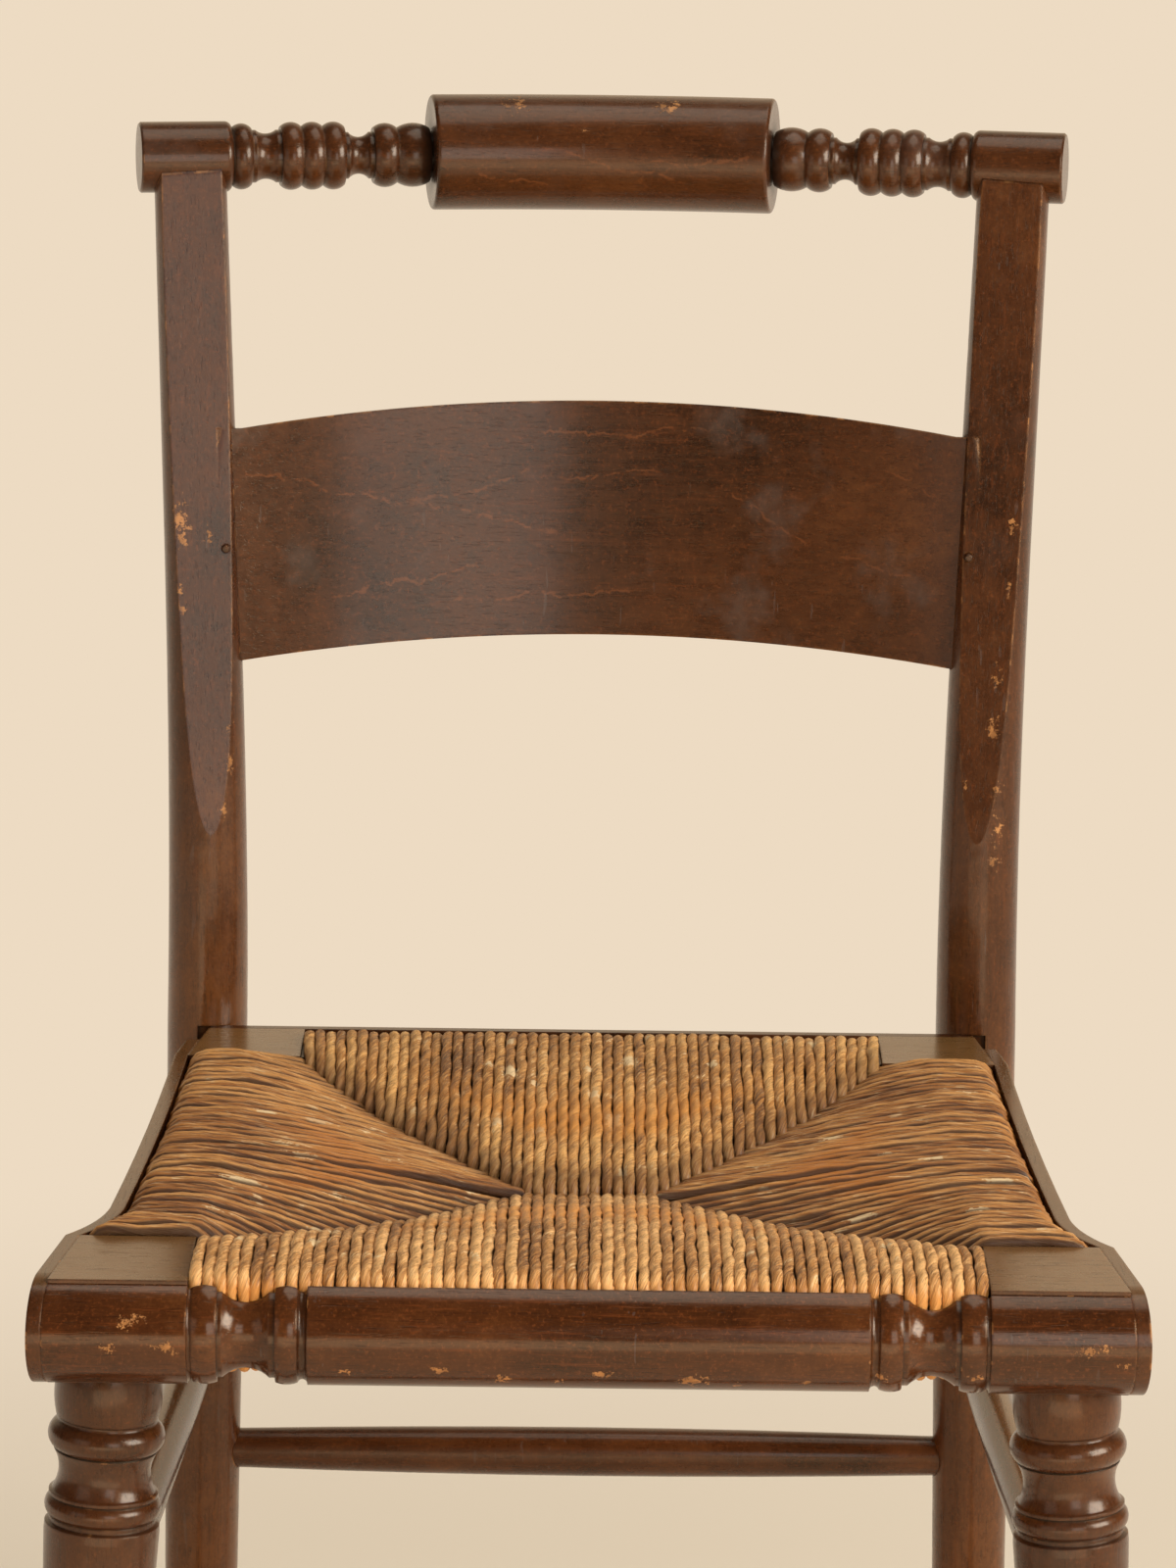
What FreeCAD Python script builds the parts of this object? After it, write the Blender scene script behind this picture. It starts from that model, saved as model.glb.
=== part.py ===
# Rush-seated side chair with a pillow crest and one slat.
# The chair faces -Y, +X is on the right when the chair is seen from the front, +Z is up.
# Lengths are millimetres. While the pieces are drawn, y is counted back from the front of the
# seat; each piece is then moved so that the origin lies on the floor under the middle.

import FreeCAD, Part
import math
import os
import Sketcher

Vector = FreeCAD.Vector
Rotation = FreeCAD.Rotation
Placement = FreeCAD.Placement

# Driving sizes, one row each: alias, value, what it is
drivingSizes = [
    # Seat plan, half widths taken at the inner face of the side strips
    ("seatHalfFront", 220.5, "half width at the very front"),
    ("blockTaper", 10.5, "half width lost at the back of the front blocks"),
    ("flareTaper", 26, "half width lost where the front flare ends"),
    ("flareLong", 40.5, "length of the flare behind the front blocks"),
    ("seatHalfBack", 183, "half width at the front of the back blocks"),
    ("postTaper", 7.5, "half width lost from there to the posts"),
    ("flareRise", 2.8, "hollow of the front flare"),
    ("waistRise", 1.5, "hollow of the long side"),
    # Seat frame
    ("seatTop", 445, "height of the corner blocks"),
    ("frontBlockHeight", 43.5, "height of the front blocks"),
    ("frontBlockWide", 58.5, "width of a front block at the very front"),
    ("frontBlockBack", 76.5, "y of the back of the front blocks"),
    ("backBlockBack", 412, "y of the back of the back blocks"),
    ("backBlockWide", 51, "width of a back block at its front"),
    ("backBlockDeep", 48.5, "depth of a back block"),
    ("backBlockHeight", 30, "height of the back blocks"),
    ("railDrop", 1.8, "thinned rails inside the rush lie this far under the seat top"),
    ("railHeight", 33.2, "height of the thinned rails"),
    ("frontRailDeep", 42, "depth of the thinned front rail"),
    ("backRailDeep", 31, "depth of the thinned back rail"),
    ("sideRailWidth", 25, "width of a side rail"),
    ("seatTenonWidth", 12, "side rail tenon across"),
    ("seatTenonHeight", 16, "side rail tenon in height"),
    ("seatTenonLength", 20, "side rail tenon in length"),
    ("fit", 0.1, "clearance round a tenon"),
    # Front roll
    ("rollRadius", 22.5, "radius of the turned front roll"),
    ("rollBack", 14, "y of the flat back of the roll"),
    ("rollGroove", 4, "groove beside the middle"),
    ("rollBead", 9, "inner bead"),
    ("rollFillet", 2.5, "fillet beside the inner bead"),
    ("rollCove", 19, "length of the cove"),
    ("rollCoveRadius", 16.2, "least radius in the cove"),
    ("rollOuterFillet", 2, "fillet outside the cove"),
    ("rollOuterBead", 10, "outer bead"),
    ("rollOuterGroove", 2, "groove beside the plain end"),
    ("rollGrooveDepth", 1.8, "depth of the grooves"),
    ("rollFilletDepth", 2.6, "step from a bead down to a fillet"),
    # Strips round the seat
    ("stripThickness", 6, "thickness of a side strip"),
    ("stripBackHeight", 29, "height of a side strip at its back end"),
    ("stripBevel", 26, "length of the bevel at its back end"),
    ("stripBevelDrop", 9, "height lost in the bevel"),
    ("backStripThickness", 5, "thickness of the back strip"),
    ("backStripHeight", 31, "height of the back strip"),
    # Rush seat
    ("rushLayer", 5.2, "thickness of one layer of rush"),
    ("rushGap", 0.3, "gap between rush and wood"),
    ("rushSideGap", 1.0, "gap between rush and side strip"),
    ("rushRollGap", 0.5, "gap between rush and front roll"),
    ("rushBackGap", 7, "gap between rush and back strip"),
    ("rushSeamRise", 1, "rush at the block corners lies this far over the seat top"),
    ("rushDip", 17, "rush at the centre seam lies this far under the seat top"),
    ("rushCentreThick", 15, "thickness of the rush seat at the centre seam"),
    ("rushNose", 9, "roundness of the rush at a rail"),
    ("seamHalf", 28, "half length of the centre seam"),
    ("seamDepth", 205, "y of the centre seam"),
    ("stuffingInset", 14, "stuffing stops this short of a seam"),
    # Back posts: leans and heights of each section are taken from the section at the seat top
    ("postSeatInset", 5, "a post's axis at the seat lies this far in from seatHalfBack"),
    ("postSeatBehind", 21, "and this far behind the back blocks"),
    ("postSeatWide", 37, "diameter at the seat"),
    ("postFootOut", 6, "lean outwards at the floor"),
    ("postFootBehind", 17, "lean backwards at the floor"),
    ("postFootWide", 29, "diameter at the floor"),
    ("postShinZ", 178, "height of the shin"),
    ("postShinWide", 34.4, "diameter at the shin"),
    ("postKneeZ", 330, "height of the knee"),
    ("postKneeWide", 36.2, "diameter at the knee"),
    ("postWaistUp", 65, "height of the waist over the seat"),
    ("postWaistIn", 0.2, "lean inwards at the waist"),
    ("postWaistBehind", 1.5, "lean backwards at the waist"),
    ("postWaistWide", 36.2, "diameter at the waist"),
    ("postBackUp", 155, "height of the section under the slat over the seat"),
    ("postBackOut", 1.6, "lean outwards under the slat"),
    ("postBackBehind", 11.5, "lean backwards under the slat"),
    ("postBackWide", 35, "diameter under the slat"),
    ("postSlatUp", 266, "height of the section at the slat's top over the seat"),
    ("postSlatOut", 5.6, "lean outwards at the slat's top"),
    ("postSlatBehind", 27.5, "lean backwards at the slat's top"),
    ("postSlatWide", 34, "diameter at the slat's top"),
    ("postTopOut", 10.6, "lean outwards at the crest rail"),
    ("postTopBehind", 47, "lean backwards at the crest rail"),
    ("postTopWide", 33, "diameter at the crest rail"),
    ("facetFootUp", 90, "height over the seat where the planed facet runs out"),
    ("facetFootFront", 15.9, "the facet lies this far before the axis at the seat there"),
    ("facetHollow", 1.5, "hollow of the facet in its length"),
    ("facetTurn", 8, "angle by which the facet faces inwards, degrees"),
    ("postTenonWide", 14, "diameter of the tenon on top of a post"),
    ("postTenonLength", 24, "length of that tenon"),
    # Crest rail
    ("crestUp", 393, "height of the arms' axis over the seat"),
    ("pillowUp", 1.2, "height of the pillow's axis over the arms' axis"),
    ("pillowWide", 53, "diameter of the pillow"),
    ("pillowBehind", 30, "the pillow's middle lies this far behind the posts' tops"),
    ("pillowBend", 534, "radius that the pillow is bent to"),
    ("pillowEdge", 1.6, "rounding of the pillow ends"),
    ("armReach", 109.6, "distance along x from a post's axis to the pillow"),
    ("armSink", 9, "an arm runs this far into the pillow"),
    ("armAngle", 9.5, "angle of the arms in plan, degrees"),
    ("beadWide", 29.5, "diameter of the paired inner beads"),
    ("beadLong", 15, "first inner bead"), ("beadShort", 11, "second inner bead"),
    ("tripleWide", 31.2, "diameter of the three middle beads"),
    ("tripleLong", 9.8, "length of each middle bead"),
    ("outerBeadWide", 30.3, "diameter of the bead beside the barrel"),
    ("outerBeadLong", 9, "length of that bead"),
    ("crestFilletWide", 21.5, "diameter of the fillets"),
    ("crestFilletLong", 2, "length of a fillet"),
    ("innerCoveWide", 17, "least diameter of the inner cove"),
    ("outerCoveWide", 20.8, "least diameter of the outer cove"),
    ("crestCoveLong", 9.5, "length of a cove"),
    ("barrelWide", 32.4, "diameter of the end barrel"),
    ("shoulderLong", 3, "rounded shoulder of the barrel"),
    ("barrelLong", 42.5, "length of the end barrel"),
    ("barrelEdge", 0.8, "bevel round the end of the barrel"),
    # Slat
    ("slatUp", 166, "height of the slat's lower corners over the seat"),
    ("slatHeight", 105.5, "height of the slat at its ends"),
    ("slatShort", 19.6, "its visible end lies this far in from a post's axis"),
    ("slatThickness", 9.5, "thickness of the slat"),
    ("slatBow", 27, "hollow of the slat in plan"),
    ("slatTopRise", 14, "arch of the upper edge"),
    ("slatBottomRise", 12.6, "arch of the lower edge"),
    ("slatTenonLength", 12, "depth of the slat in a post"),
    ("pinWide", 4, "diameter of a slat pin"),
    ("pinLength", 24, "length of a slat pin"),
    # Front legs
    ("legInset", 25.5, "the leg axis under the block lies this far in from seatHalfFront"),
    ("legTopY", 38, "y of the leg axis under the block"),
    ("legOut", 21.5, "lean outwards at the floor"),
    ("legForward", 8, "lean forwards at the floor"),
    ("legTenonWide", 22, "diameter of the leg tenon"),
    ("legTenonLength", 32, "length of the leg tenon"),
    # Stretchers
    ("frontStretcherZ", 226, "height of the front stretcher"),
    ("rearStretcherZ", 233, "height of the rear stretcher"),
    ("upperStretcherZ", 290, "height of the upper side stretchers"),
    ("lowerStretcherZ", 162, "height of the lower side stretchers"),
    ("stretcherEndWide", 18.6, "diameter of a stretcher in its socket"),
    ("rearStretcherWide", 23, "diameter of the rear stretcher"),
    ("sideStretcherWide", 21, "diameter of a side stretcher"),
    ("frontStretcherWide", 31, "diameter of the front stretcher's middle"),
    ("stretcherEndLength", 17, "straight end of a stretcher"),
    ("stretcherInset", 3, "stretchers stop this short of the leg axis"),
    ("stretcherPlain", 38, "half length of the front stretcher's plain middle"),
    ("stretcherBead", 10, "length of its beads"),
    ("stretcherFillet", 2, "length of its fillets"),
    ("stretcherCove", 16, "length of its coves"),
    ("stretcherBeadFoot", 5, "diameter lost at the foot of a bead"),
    ("stretcherNeck", 8, "diameter lost in the necks"),
    # Fasteners
    ("screwWide", 4.8, "shank of a post screw"),
    ("screwHeadWide", 9.2, "head of a post screw"),
    ("screwHeadThick", 2.6, "thickness of that head"),
    ("screwSlot", 1.2, "width and depth of its slot"),
    ("screwBite", 24, "depth of a post screw in the back block"),
    ("screwSink", 5, "depth of the screw's counterbore"),
    ("screwDrop", 15, "screws lie this far under the seat top"),
    ("screwInset", 10, "screws lie this far in from the posts' axes"),
    ("nailWide", 1.8, "shank of a strip nail"),
    ("nailHeadWide", 3.6, "head of a strip nail"),
    ("nailHeadThick", 1.2, "thickness of that head"),
    ("nailLength", 26, "length of a strip nail"),
    ("nailUpperY", 35, "y of the upper nail in a front block"),
    ("nailLowerY", 62, "y of the lower nail in a front block"),
    ("nailLowerRise", 9, "lower front nail lies this far over the block's underside"),
    ("nailBackInset", 10, "nails in a back block lie this far in from its faces"),
    ("nailBackDrop", 7, "upper back nail lies this far under the seat top"),
    ("nailBackLower", 22, "lower back nail lies this far under the seat top"),
]

doc = FreeCAD.newDocument("RushChair")
sheet = doc.addObject("Spreadsheet::Sheet", "Sizes")
for row, (alias, value, note) in enumerate(drivingSizes, start=1):
    sheet.set("A%d" % row, str(value))
    sheet.setAlias("A%d" % row, alias)
    sheet.set("B%d" % row, note)
doc.recompute()


class Size:
    """A length together with the sheet formula that it comes from."""

    def __init__(self, value, formula):
        self.value = value
        self.formula = formula

    def __add__(self, other):
        other = size(other)
        return Size(self.value + other.value, "(%s + %s)" % (self.formula, other.formula))

    def __sub__(self, other):
        other = size(other)
        return Size(self.value - other.value, "(%s - %s)" % (self.formula, other.formula))

    def __mul__(self, other):
        other = size(other)
        return Size(self.value * other.value, "(%s * %s)" % (self.formula, other.formula))

    def __truediv__(self, other):
        other = size(other)
        return Size(self.value / other.value, "(%s / %s)" % (self.formula, other.formula))

    def __radd__(self, other):
        return size(other) + self

    def __rsub__(self, other):
        return size(other) - self

    def __rmul__(self, other):
        return size(other) * self

    def __neg__(self):
        return Size(-self.value, "(-%s)" % self.formula)

    def __float__(self):
        return float(self.value)


def size(number):
    """Wrap a plain number, and leave a Size as it is."""
    if isinstance(number, Size):
        return number
    return Size(float(number), "(%.6g)" % number)


def root(number):
    number = size(number)
    return Size(math.sqrt(number.value), "sqrt(%s)" % number.formula)


class SheetSizes:
    """Reads a driving size by its alias."""

    def __getattr__(self, alias):
        return Size(float(sheet.get(alias)), "Sizes.%s" % alias)


s = SheetSizes()


def point(x, y, z):
    return Vector(float(x), float(y), float(z))


def standing(x, y, z):
    """A place with no turn."""
    return Placement(point(x, y, z), Rotation())


def bind(feature, path, number):
    """Set one property of a feature from a Size, and keep it tied to the sheet."""
    feature.setExpression(path, size(number).formula)


def newBody(label):
    body = doc.addObject("PartDesign::Body", label)
    body.Label = label
    return body


def originPlane(body, role):
    return [feature for feature in body.Origin.OriginFeatures if feature.Role == role][0]


def drawLoop(sketch, loop):
    """Draw a closed outline of (x, y) or (x, y, rise) corners.

    The rise is the height of an arc to the next corner, to the left of the way there.
    """
    corners = [(size(c[0]), size(c[1]), size(c[2] if len(c) > 2 else 0)) for c in loop]
    first = sketch.GeometryCount
    ends = []
    centres = []
    for i, (x, y, rise) in enumerate(corners):
        nextX, nextY, _ = corners[(i + 1) % len(corners)]
        a = point(x, y, 0)
        b = point(nextX, nextY, 0)
        if rise.value == 0:
            sketch.addGeometry(Part.LineSegment(a, b))
            ends.append((1, 2))
            centres.append(None)
            continue
        spanX = nextX - x
        spanY = nextY - y
        chord = root(spanX * spanX + spanY * spanY)
        share = (rise * rise - chord * chord / 4) / (2 * rise * chord)
        left = Vector(-spanY.value, spanX.value, 0) / chord.value
        sketch.addGeometry(Part.Arc(a, (a + b) / 2 + left * rise.value, b))
        ends.append((2, 1) if rise.value > 0 else (1, 2))
        if abs(spanX.value) >= abs(spanY.value):
            centres.append(("DistanceY", (y + nextY) / 2 + spanX * share))
        else:
            centres.append(("DistanceX", (x + nextX) / 2 - spanY * share))
    for i, (x, y, rise) in enumerate(corners):
        following = (i + 1) % len(corners)
        sketch.addConstraint(Sketcher.Constraint(
            "Coincident", first + i, ends[i][1], first + following, ends[following][0]))
        tie(sketch, "DistanceX", first + i, ends[i][0], x)
        tie(sketch, "DistanceY", first + i, ends[i][0], y)
        if centres[i]:
            tie(sketch, centres[i][0], first + i, 3, centres[i][1])


def tie(sketch, kind, geometry, position, number):
    """Hold one coordinate of a sketch point at a Size."""
    index = sketch.addConstraint(
        Sketcher.Constraint(kind, -1, 1, geometry, position, number.value))
    sketch.setExpression("Constraints[%d]" % index, number.formula)


def drawCircle(sketch, x, y, diameter):
    x, y, diameter = size(x), size(y), size(diameter)
    circle = Part.Circle(point(x, y, 0), Vector(0, 0, 1), diameter.value / 2)
    geometry = sketch.addGeometry(circle)
    tie(sketch, "DistanceX", geometry, 3, x)
    tie(sketch, "DistanceY", geometry, 3, y)
    index = sketch.addConstraint(Sketcher.Constraint("Diameter", geometry, diameter.value))
    sketch.setExpression("Constraints[%d]" % index, diameter.formula)


def newSketch(body, name, role="XY_Plane", at=Placement()):
    sketch = body.newObject("Sketcher::SketchObject", name)
    sketch.AttachmentSupport = [(originPlane(body, role), "")]
    sketch.MapMode = "FlatFace"
    sketch.AttachmentOffset = at
    return sketch


def planSketch(body, name, loops, z=0):
    """Outlines seen from above, at height z."""
    sketch = newSketch(body, name, "XY_Plane", standing(0, 0, z))
    bind(sketch, "AttachmentOffset.Base.z", z)
    for loop in loops:
        drawLoop(sketch, loop)
    return sketch


def sideSketch(body, name, loops, x=0):
    """Outlines in y and z, seen from the side, at distance x."""
    sketch = newSketch(body, name, "YZ_Plane", standing(0, 0, x))
    bind(sketch, "AttachmentOffset.Base.z", x)
    for loop in loops:
        drawLoop(sketch, loop)
    return sketch


def crossSketch(body, name, loops, y=0):
    """Outlines in x and z, seen from the front, at depth y."""
    sketch = newSketch(body, name, "XZ_Plane", standing(0, 0, -size(y)))
    bind(sketch, "AttachmentOffset.Base.z", -size(y))
    for loop in loops:
        drawLoop(sketch, loop)
    return sketch


def pad(body, name, sketch, length, bothWays=False):
    feature = body.newObject("PartDesign::Pad", name)
    feature.Profile = sketch
    bind(feature, "Length", length)
    feature.Midplane = bothWays
    return feature


def cut(body, name, sketch, length):
    """Cut an outline by half the length to each side of its plane."""
    feature = body.newObject("PartDesign::Pocket", name)
    feature.Profile = sketch
    bind(feature, "Length", length)
    feature.Midplane = True
    return feature


def turn(body, name, sketch, axis="V_Axis", angle=360):
    feature = body.newObject("PartDesign::Revolution", name)
    feature.Profile = sketch
    feature.ReferenceAxis = (sketch, [axis])
    feature.Angle = angle
    feature.Midplane = True
    return feature


def loft(body, name, sketches, kind="AdditiveLoft", ruled=False):
    feature = body.newObject("PartDesign::" + kind, name)
    feature.Profile = sketches[0]
    feature.Sections = sketches[1:]
    feature.Ruled = ruled
    return feature


def box(body, name, kind, low, high):
    """A block between two corners, kind being Additive or Subtractive."""
    feature = body.newObject("PartDesign::%sBox" % kind, name)
    for axis, side, start, end in zip("xyz", ("Length", "Width", "Height"), low, high):
        bind(feature, side, size(end) - start)
        bind(feature, "Placement.Base." + axis, start)
    return feature


def rod(body, name, kind, diameter, start, end):
    """A cylinder from one point to another, kind being Additive or Subtractive."""
    feature = body.newObject("PartDesign::%sCylinder" % kind, name)
    bind(feature, "Radius", size(diameter) / 2)
    feature.Height = (end - start).Length
    feature.Placement = Placement(start, Rotation(Vector(0, 0, 1), end - start))
    return feature


def turned(body, name, outline, start, end):
    """Turn a piece on the line from start to end.

    The outline is a list of (distance from start, diameter) with a rise for an arc.
    """
    at = Placement(start, Rotation(Vector(0, 1, 0), end - start))
    sketch = newSketch(body, name + "Outline", "XY_Plane", at)
    loop = []
    for distance, diameter, *rise in outline:
        corner = (size(diameter) / 2, size(distance)) + tuple(rise)
        if loop and abs(corner[0].value - loop[-1][0].value) < 1e-6 \
                and abs(corner[1].value - loop[-1][1].value) < 1e-6:
            loop.pop()
        loop.append(corner)
    first, last = outline[0], outline[-1]
    drawLoop(sketch, loop + [(0, last[0]), (0, first[0])])
    return turn(body, name, sketch)


# Seat plan
seatHalfBlock = s.seatHalfFront - s.blockTaper
seatHalfFlare = s.seatHalfFront - s.flareTaper
seatHalfPost = s.seatHalfBack - s.postTaper
flareEnd = s.frontBlockBack + s.flareLong
frontBlockInner = s.seatHalfFront - s.frontBlockWide
backBlockInner = s.seatHalfBack - s.backBlockWide
backBlockFront = s.backBlockBack - s.backBlockDeep
stripBack = s.backBlockBack + s.backStripThickness
seatBottom = s.seatTop - s.frontBlockHeight
stripBackBottom = s.seatTop - s.stripBackHeight

# Rails inside the rush
rushWrap = s.rushLayer + s.rushGap
railInset = s.rushSideGap + rushWrap
railTop = s.seatTop - s.railDrop
railBottom = railTop - s.railHeight
frontRailFront = s.rollBack + s.rushRollGap + rushWrap
frontRailBack = frontRailFront + s.frontRailDeep
backRailBack = s.backBlockBack - s.rushBackGap - rushWrap
backRailFront = backRailBack - s.backRailDeep
tenonBottom = (railTop + railBottom - s.seatTenonHeight) / 2
rushSeamTop = s.seatTop + s.rushSeamRise
rushCentreTop = s.seatTop - s.rushDip
rushCentreBottom = rushCentreTop - s.rushCentreThick

# Back posts, sections from the floor to the crest rail
postSeatX = s.seatHalfBack - s.postSeatInset
postSeatY = s.backBlockBack + s.postSeatBehind
postFootX = postSeatX + s.postFootOut
postFootY = postSeatY + s.postFootBehind
postWaistX = postSeatX - s.postWaistIn
postWaistY = postSeatY + s.postWaistBehind
postWaistZ = s.seatTop + s.postWaistUp
postBackX = postSeatX + s.postBackOut
postBackY = postSeatY + s.postBackBehind
postBackZ = s.seatTop + s.postBackUp
postSlatX = postSeatX + s.postSlatOut
postSlatY = postSeatY + s.postSlatBehind
postSlatZ = s.seatTop + s.postSlatUp
postTopX = postSeatX + s.postTopOut
postTopY = postSeatY + s.postTopBehind
facetFootY = postSeatY - s.facetFootFront
facetFootZ = s.seatTop + s.facetFootUp
screwHalf = postSeatX - s.screwInset

# Crest rail and slat
crestZ = s.seatTop + s.crestUp
pillowZ = crestZ + s.pillowUp
pillowY = postTopY + s.pillowBehind
pillowHalf = postTopX - s.armReach
slatBottomEnd = s.seatTop + s.slatUp
slatTopEnd = slatBottomEnd + s.slatHeight
slatHalf = postSlatX - s.slatShort

# Front legs
legTopX = s.seatHalfFront - s.legInset
legFootX = legTopX + s.legOut
legFootY = s.legTopY - s.legForward

quarterRise = 1 - root(0.5)
far = 300


def along(value, start, end, low, high):
    """The value between low and high that goes with a place between start and end."""
    return low + (high - low) * (size(value) - start) / (size(end) - start)


def frontEndX(y):
    return along(y, 0, s.frontBlockBack, s.seatHalfFront, seatHalfBlock)


def backEndX(y):
    return along(y, backBlockFront, stripBack, s.seatHalfBack, seatHalfPost)


def sideLine(offset):
    """The seat's side from front to back, moved outwards by offset."""
    return [
        (s.seatHalfFront + offset, size(0), size(0)),
        (seatHalfBlock + offset, s.frontBlockBack, s.flareRise),
        (seatHalfFlare + offset, flareEnd, s.waistRise),
        (s.seatHalfBack + offset, backBlockFront, size(0)),
        (seatHalfPost + offset, stripBack, size(0)),
    ]


def postAxis(z):
    """Middle of a back post at a height below the seat top."""
    x = along(z, 0, s.seatTop, postFootX, postSeatX)
    y = along(z, 0, s.seatTop, postFootY, postSeatY)
    return point(x, y, z)


def legAxis(z):
    """Middle of a front leg at a height."""
    x = along(z, 0, seatBottom, legFootX, legTopX)
    y = along(z, 0, seatBottom, legFootY, s.legTopY)
    return point(x, y, z)


# Corner blocks and rails of the seat frame
frontTenonX = seatHalfFlare - railInset - s.sideRailWidth / 2
backTenonX = s.seatHalfBack - railInset - s.sideRailWidth / 2
legTop = legAxis(seatBottom)
legUp = (legTop - legAxis(0)).normalize()
legTenonEnd = legTop + legUp * float(s.legTenonLength)


def seatTenon(body, name, kind, x, start, end, room=0):
    """A side rail's tenon, or with room the mortise for it."""
    half = s.seatTenonWidth / 2 + room
    low = (x - half, start, tenonBottom - room)
    high = (x + half, end, tenonBottom + s.seatTenonHeight + room)
    return box(body, name, kind, low, high)


def frontNails():
    """Outer ends of the two nails from the right strip into the front block.

    The upper one lies halfway between the leg's tenon and the seat top.
    """
    upper = (s.nailUpperY, (s.seatTop + seatBottom + s.legTenonLength) / 2)
    lower = (s.nailLowerY, seatBottom + s.nailLowerRise)
    return [point(frontEndX(y) + s.stripThickness, y, z) for y, z in (upper, lower)]


def backNails():
    """Outer ends of the two nails from the right strip into the back block."""
    upper = (backBlockFront + s.nailBackInset, s.seatTop - s.nailBackDrop)
    lower = (s.backBlockBack - s.nailBackInset, s.seatTop - s.nailBackLower)
    return [point(backEndX(y) + s.stripThickness, y, z) for y, z in (upper, lower)]


def nailPilots(body, nails):
    for number, outside in enumerate(nails, start=1):
        rod(body, "NailPilot%d" % number, "Subtractive", s.nailWide, outside,
            outside - Vector(float(s.nailLength) + 1, 0, 0))


def frontRailHalf():
    body = newBody("front_rail_half")
    inner = frontBlockInner
    box(body, "Rail", "Additive",
        (0, frontRailFront, railBottom), (inner, frontRailBack, railTop))
    outline = [
        (inner, s.rollBack), (frontEndX(s.rollBack), s.rollBack),
        (seatHalfBlock, s.frontBlockBack), (inner, s.frontBlockBack)]
    pad(body, "Block", planSketch(body, "BlockPlan", [outline], seatBottom),
        s.frontBlockHeight)
    seatTenon(body, "Mortise", "Subtractive", frontTenonX,
              s.frontBlockBack - s.seatTenonLength - 1, s.frontBlockBack, s.fit)
    rod(body, "LegSocket", "Subtractive", s.legTenonWide + 2 * s.fit,
        legTop - legUp, legTenonEnd + legUp)
    nailPilots(body, frontNails())
    return body


def screwLine():
    """Head end and point of the right post screw."""
    z = s.seatTop - s.screwDrop
    axis = postAxis(z)
    radius = float(s.postSeatWide) / 2
    reach = math.sqrt(radius ** 2 - (axis.x - float(screwHalf)) ** 2)
    head = point(screwHalf, axis.y + reach - float(s.screwSink), z)
    return head, point(screwHalf, s.backBlockBack - s.screwBite, z)


def backRailHalf():
    body = newBody("back_rail_half")
    inner = backBlockInner
    box(body, "Rail", "Additive",
        (0, backRailFront, railBottom), (inner, backRailBack, railTop))
    outline = [
        (inner, backBlockFront), (s.seatHalfBack, backBlockFront),
        (backEndX(s.backBlockBack), s.backBlockBack), (inner, s.backBlockBack)]
    blockPlan = planSketch(body, "BlockPlan", [outline], s.seatTop - s.backBlockHeight)
    pad(body, "Block", blockPlan, s.backBlockHeight)
    seatTenon(body, "Mortise", "Subtractive", backTenonX,
              backBlockFront, backBlockFront + s.seatTenonLength + 1, s.fit)
    rod(body, "ScrewPilot", "Subtractive", s.screwWide, *screwLine())
    nailPilots(body, backNails())
    return body


def sideRail():
    body = newBody("side_rail_right")
    line = sideLine(-railInset)[1:4]
    line[2] = (line[2][0], line[2][1], size(0))
    outline = line + [
        (line[2][0] - s.sideRailWidth, backBlockFront),
        (line[1][0] - s.sideRailWidth, s.frontBlockBack)]
    pad(body, "Rail", planSketch(body, "RailPlan", [outline], railBottom),
        railTop - railBottom)
    seatTenon(body, "FrontTenon", "Additive", frontTenonX,
              s.frontBlockBack - s.seatTenonLength, s.frontBlockBack)
    seatTenon(body, "BackTenon", "Additive", backTenonX,
              backBlockFront, backBlockFront + s.seatTenonLength)
    return body


# Turned front roll, sliced flat at the back and glued to the front blocks
def frontRollHalf():
    body = newBody("front_roll_half")
    full = 2 * s.rollRadius
    beadFoot = full - s.rollGrooveDepth
    beadRise = -s.rollGrooveDepth / 2
    filletWide = full - 2 * s.rollFilletDepth
    reach = (frontBlockInner - s.rollOuterGroove - s.rollOuterBead - s.rollOuterFillet
             - s.rollCove - s.rollFillet - s.rollBead - s.rollGroove)
    outline = [(0, full), (reach, full, s.rollGrooveDepth)]
    reach = reach + s.rollGroove
    outline += [(reach, beadFoot, beadRise)]
    reach = reach + s.rollBead
    outline += [(reach, beadFoot), (reach, filletWide)]
    reach = reach + s.rollFillet
    outline += [(reach, filletWide, filletWide / 2 - s.rollCoveRadius)]
    reach = reach + s.rollCove
    outline += [(reach, filletWide)]
    reach = reach + s.rollOuterFillet
    outline += [(reach, filletWide), (reach, beadFoot, beadRise)]
    reach = reach + s.rollOuterBead
    outline += [(reach, beadFoot, s.rollGrooveDepth / 2)]
    reach = reach + s.rollOuterGroove
    outline += [(reach, full), (s.seatHalfFront + 1, full)]
    axisZ = s.seatTop - s.rollRadius
    turned(body, "Turning", outline, point(0, s.rollRadius, axisZ),
           point(1, s.rollRadius, axisZ))
    slab = [(s.rollBack, 0), (s.rollBack, s.seatTop * 2), (far, s.seatTop * 2), (far, 0)]
    cut(body, "FlatBack", sideSketch(body, "FlatBackSide", [slab]), 4 * far)
    ends = [
        (s.seatHalfFront, 0), (frontEndX(s.rollRadius), s.rollRadius), (far, s.rollRadius),
        (far, -s.rollRadius), (frontEndX(-s.rollRadius), -s.rollRadius)]
    cut(body, "SkewEnd", planSketch(body, "SkewEndPlan", [ends], s.seatTop), 4 * far)
    return body


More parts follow.
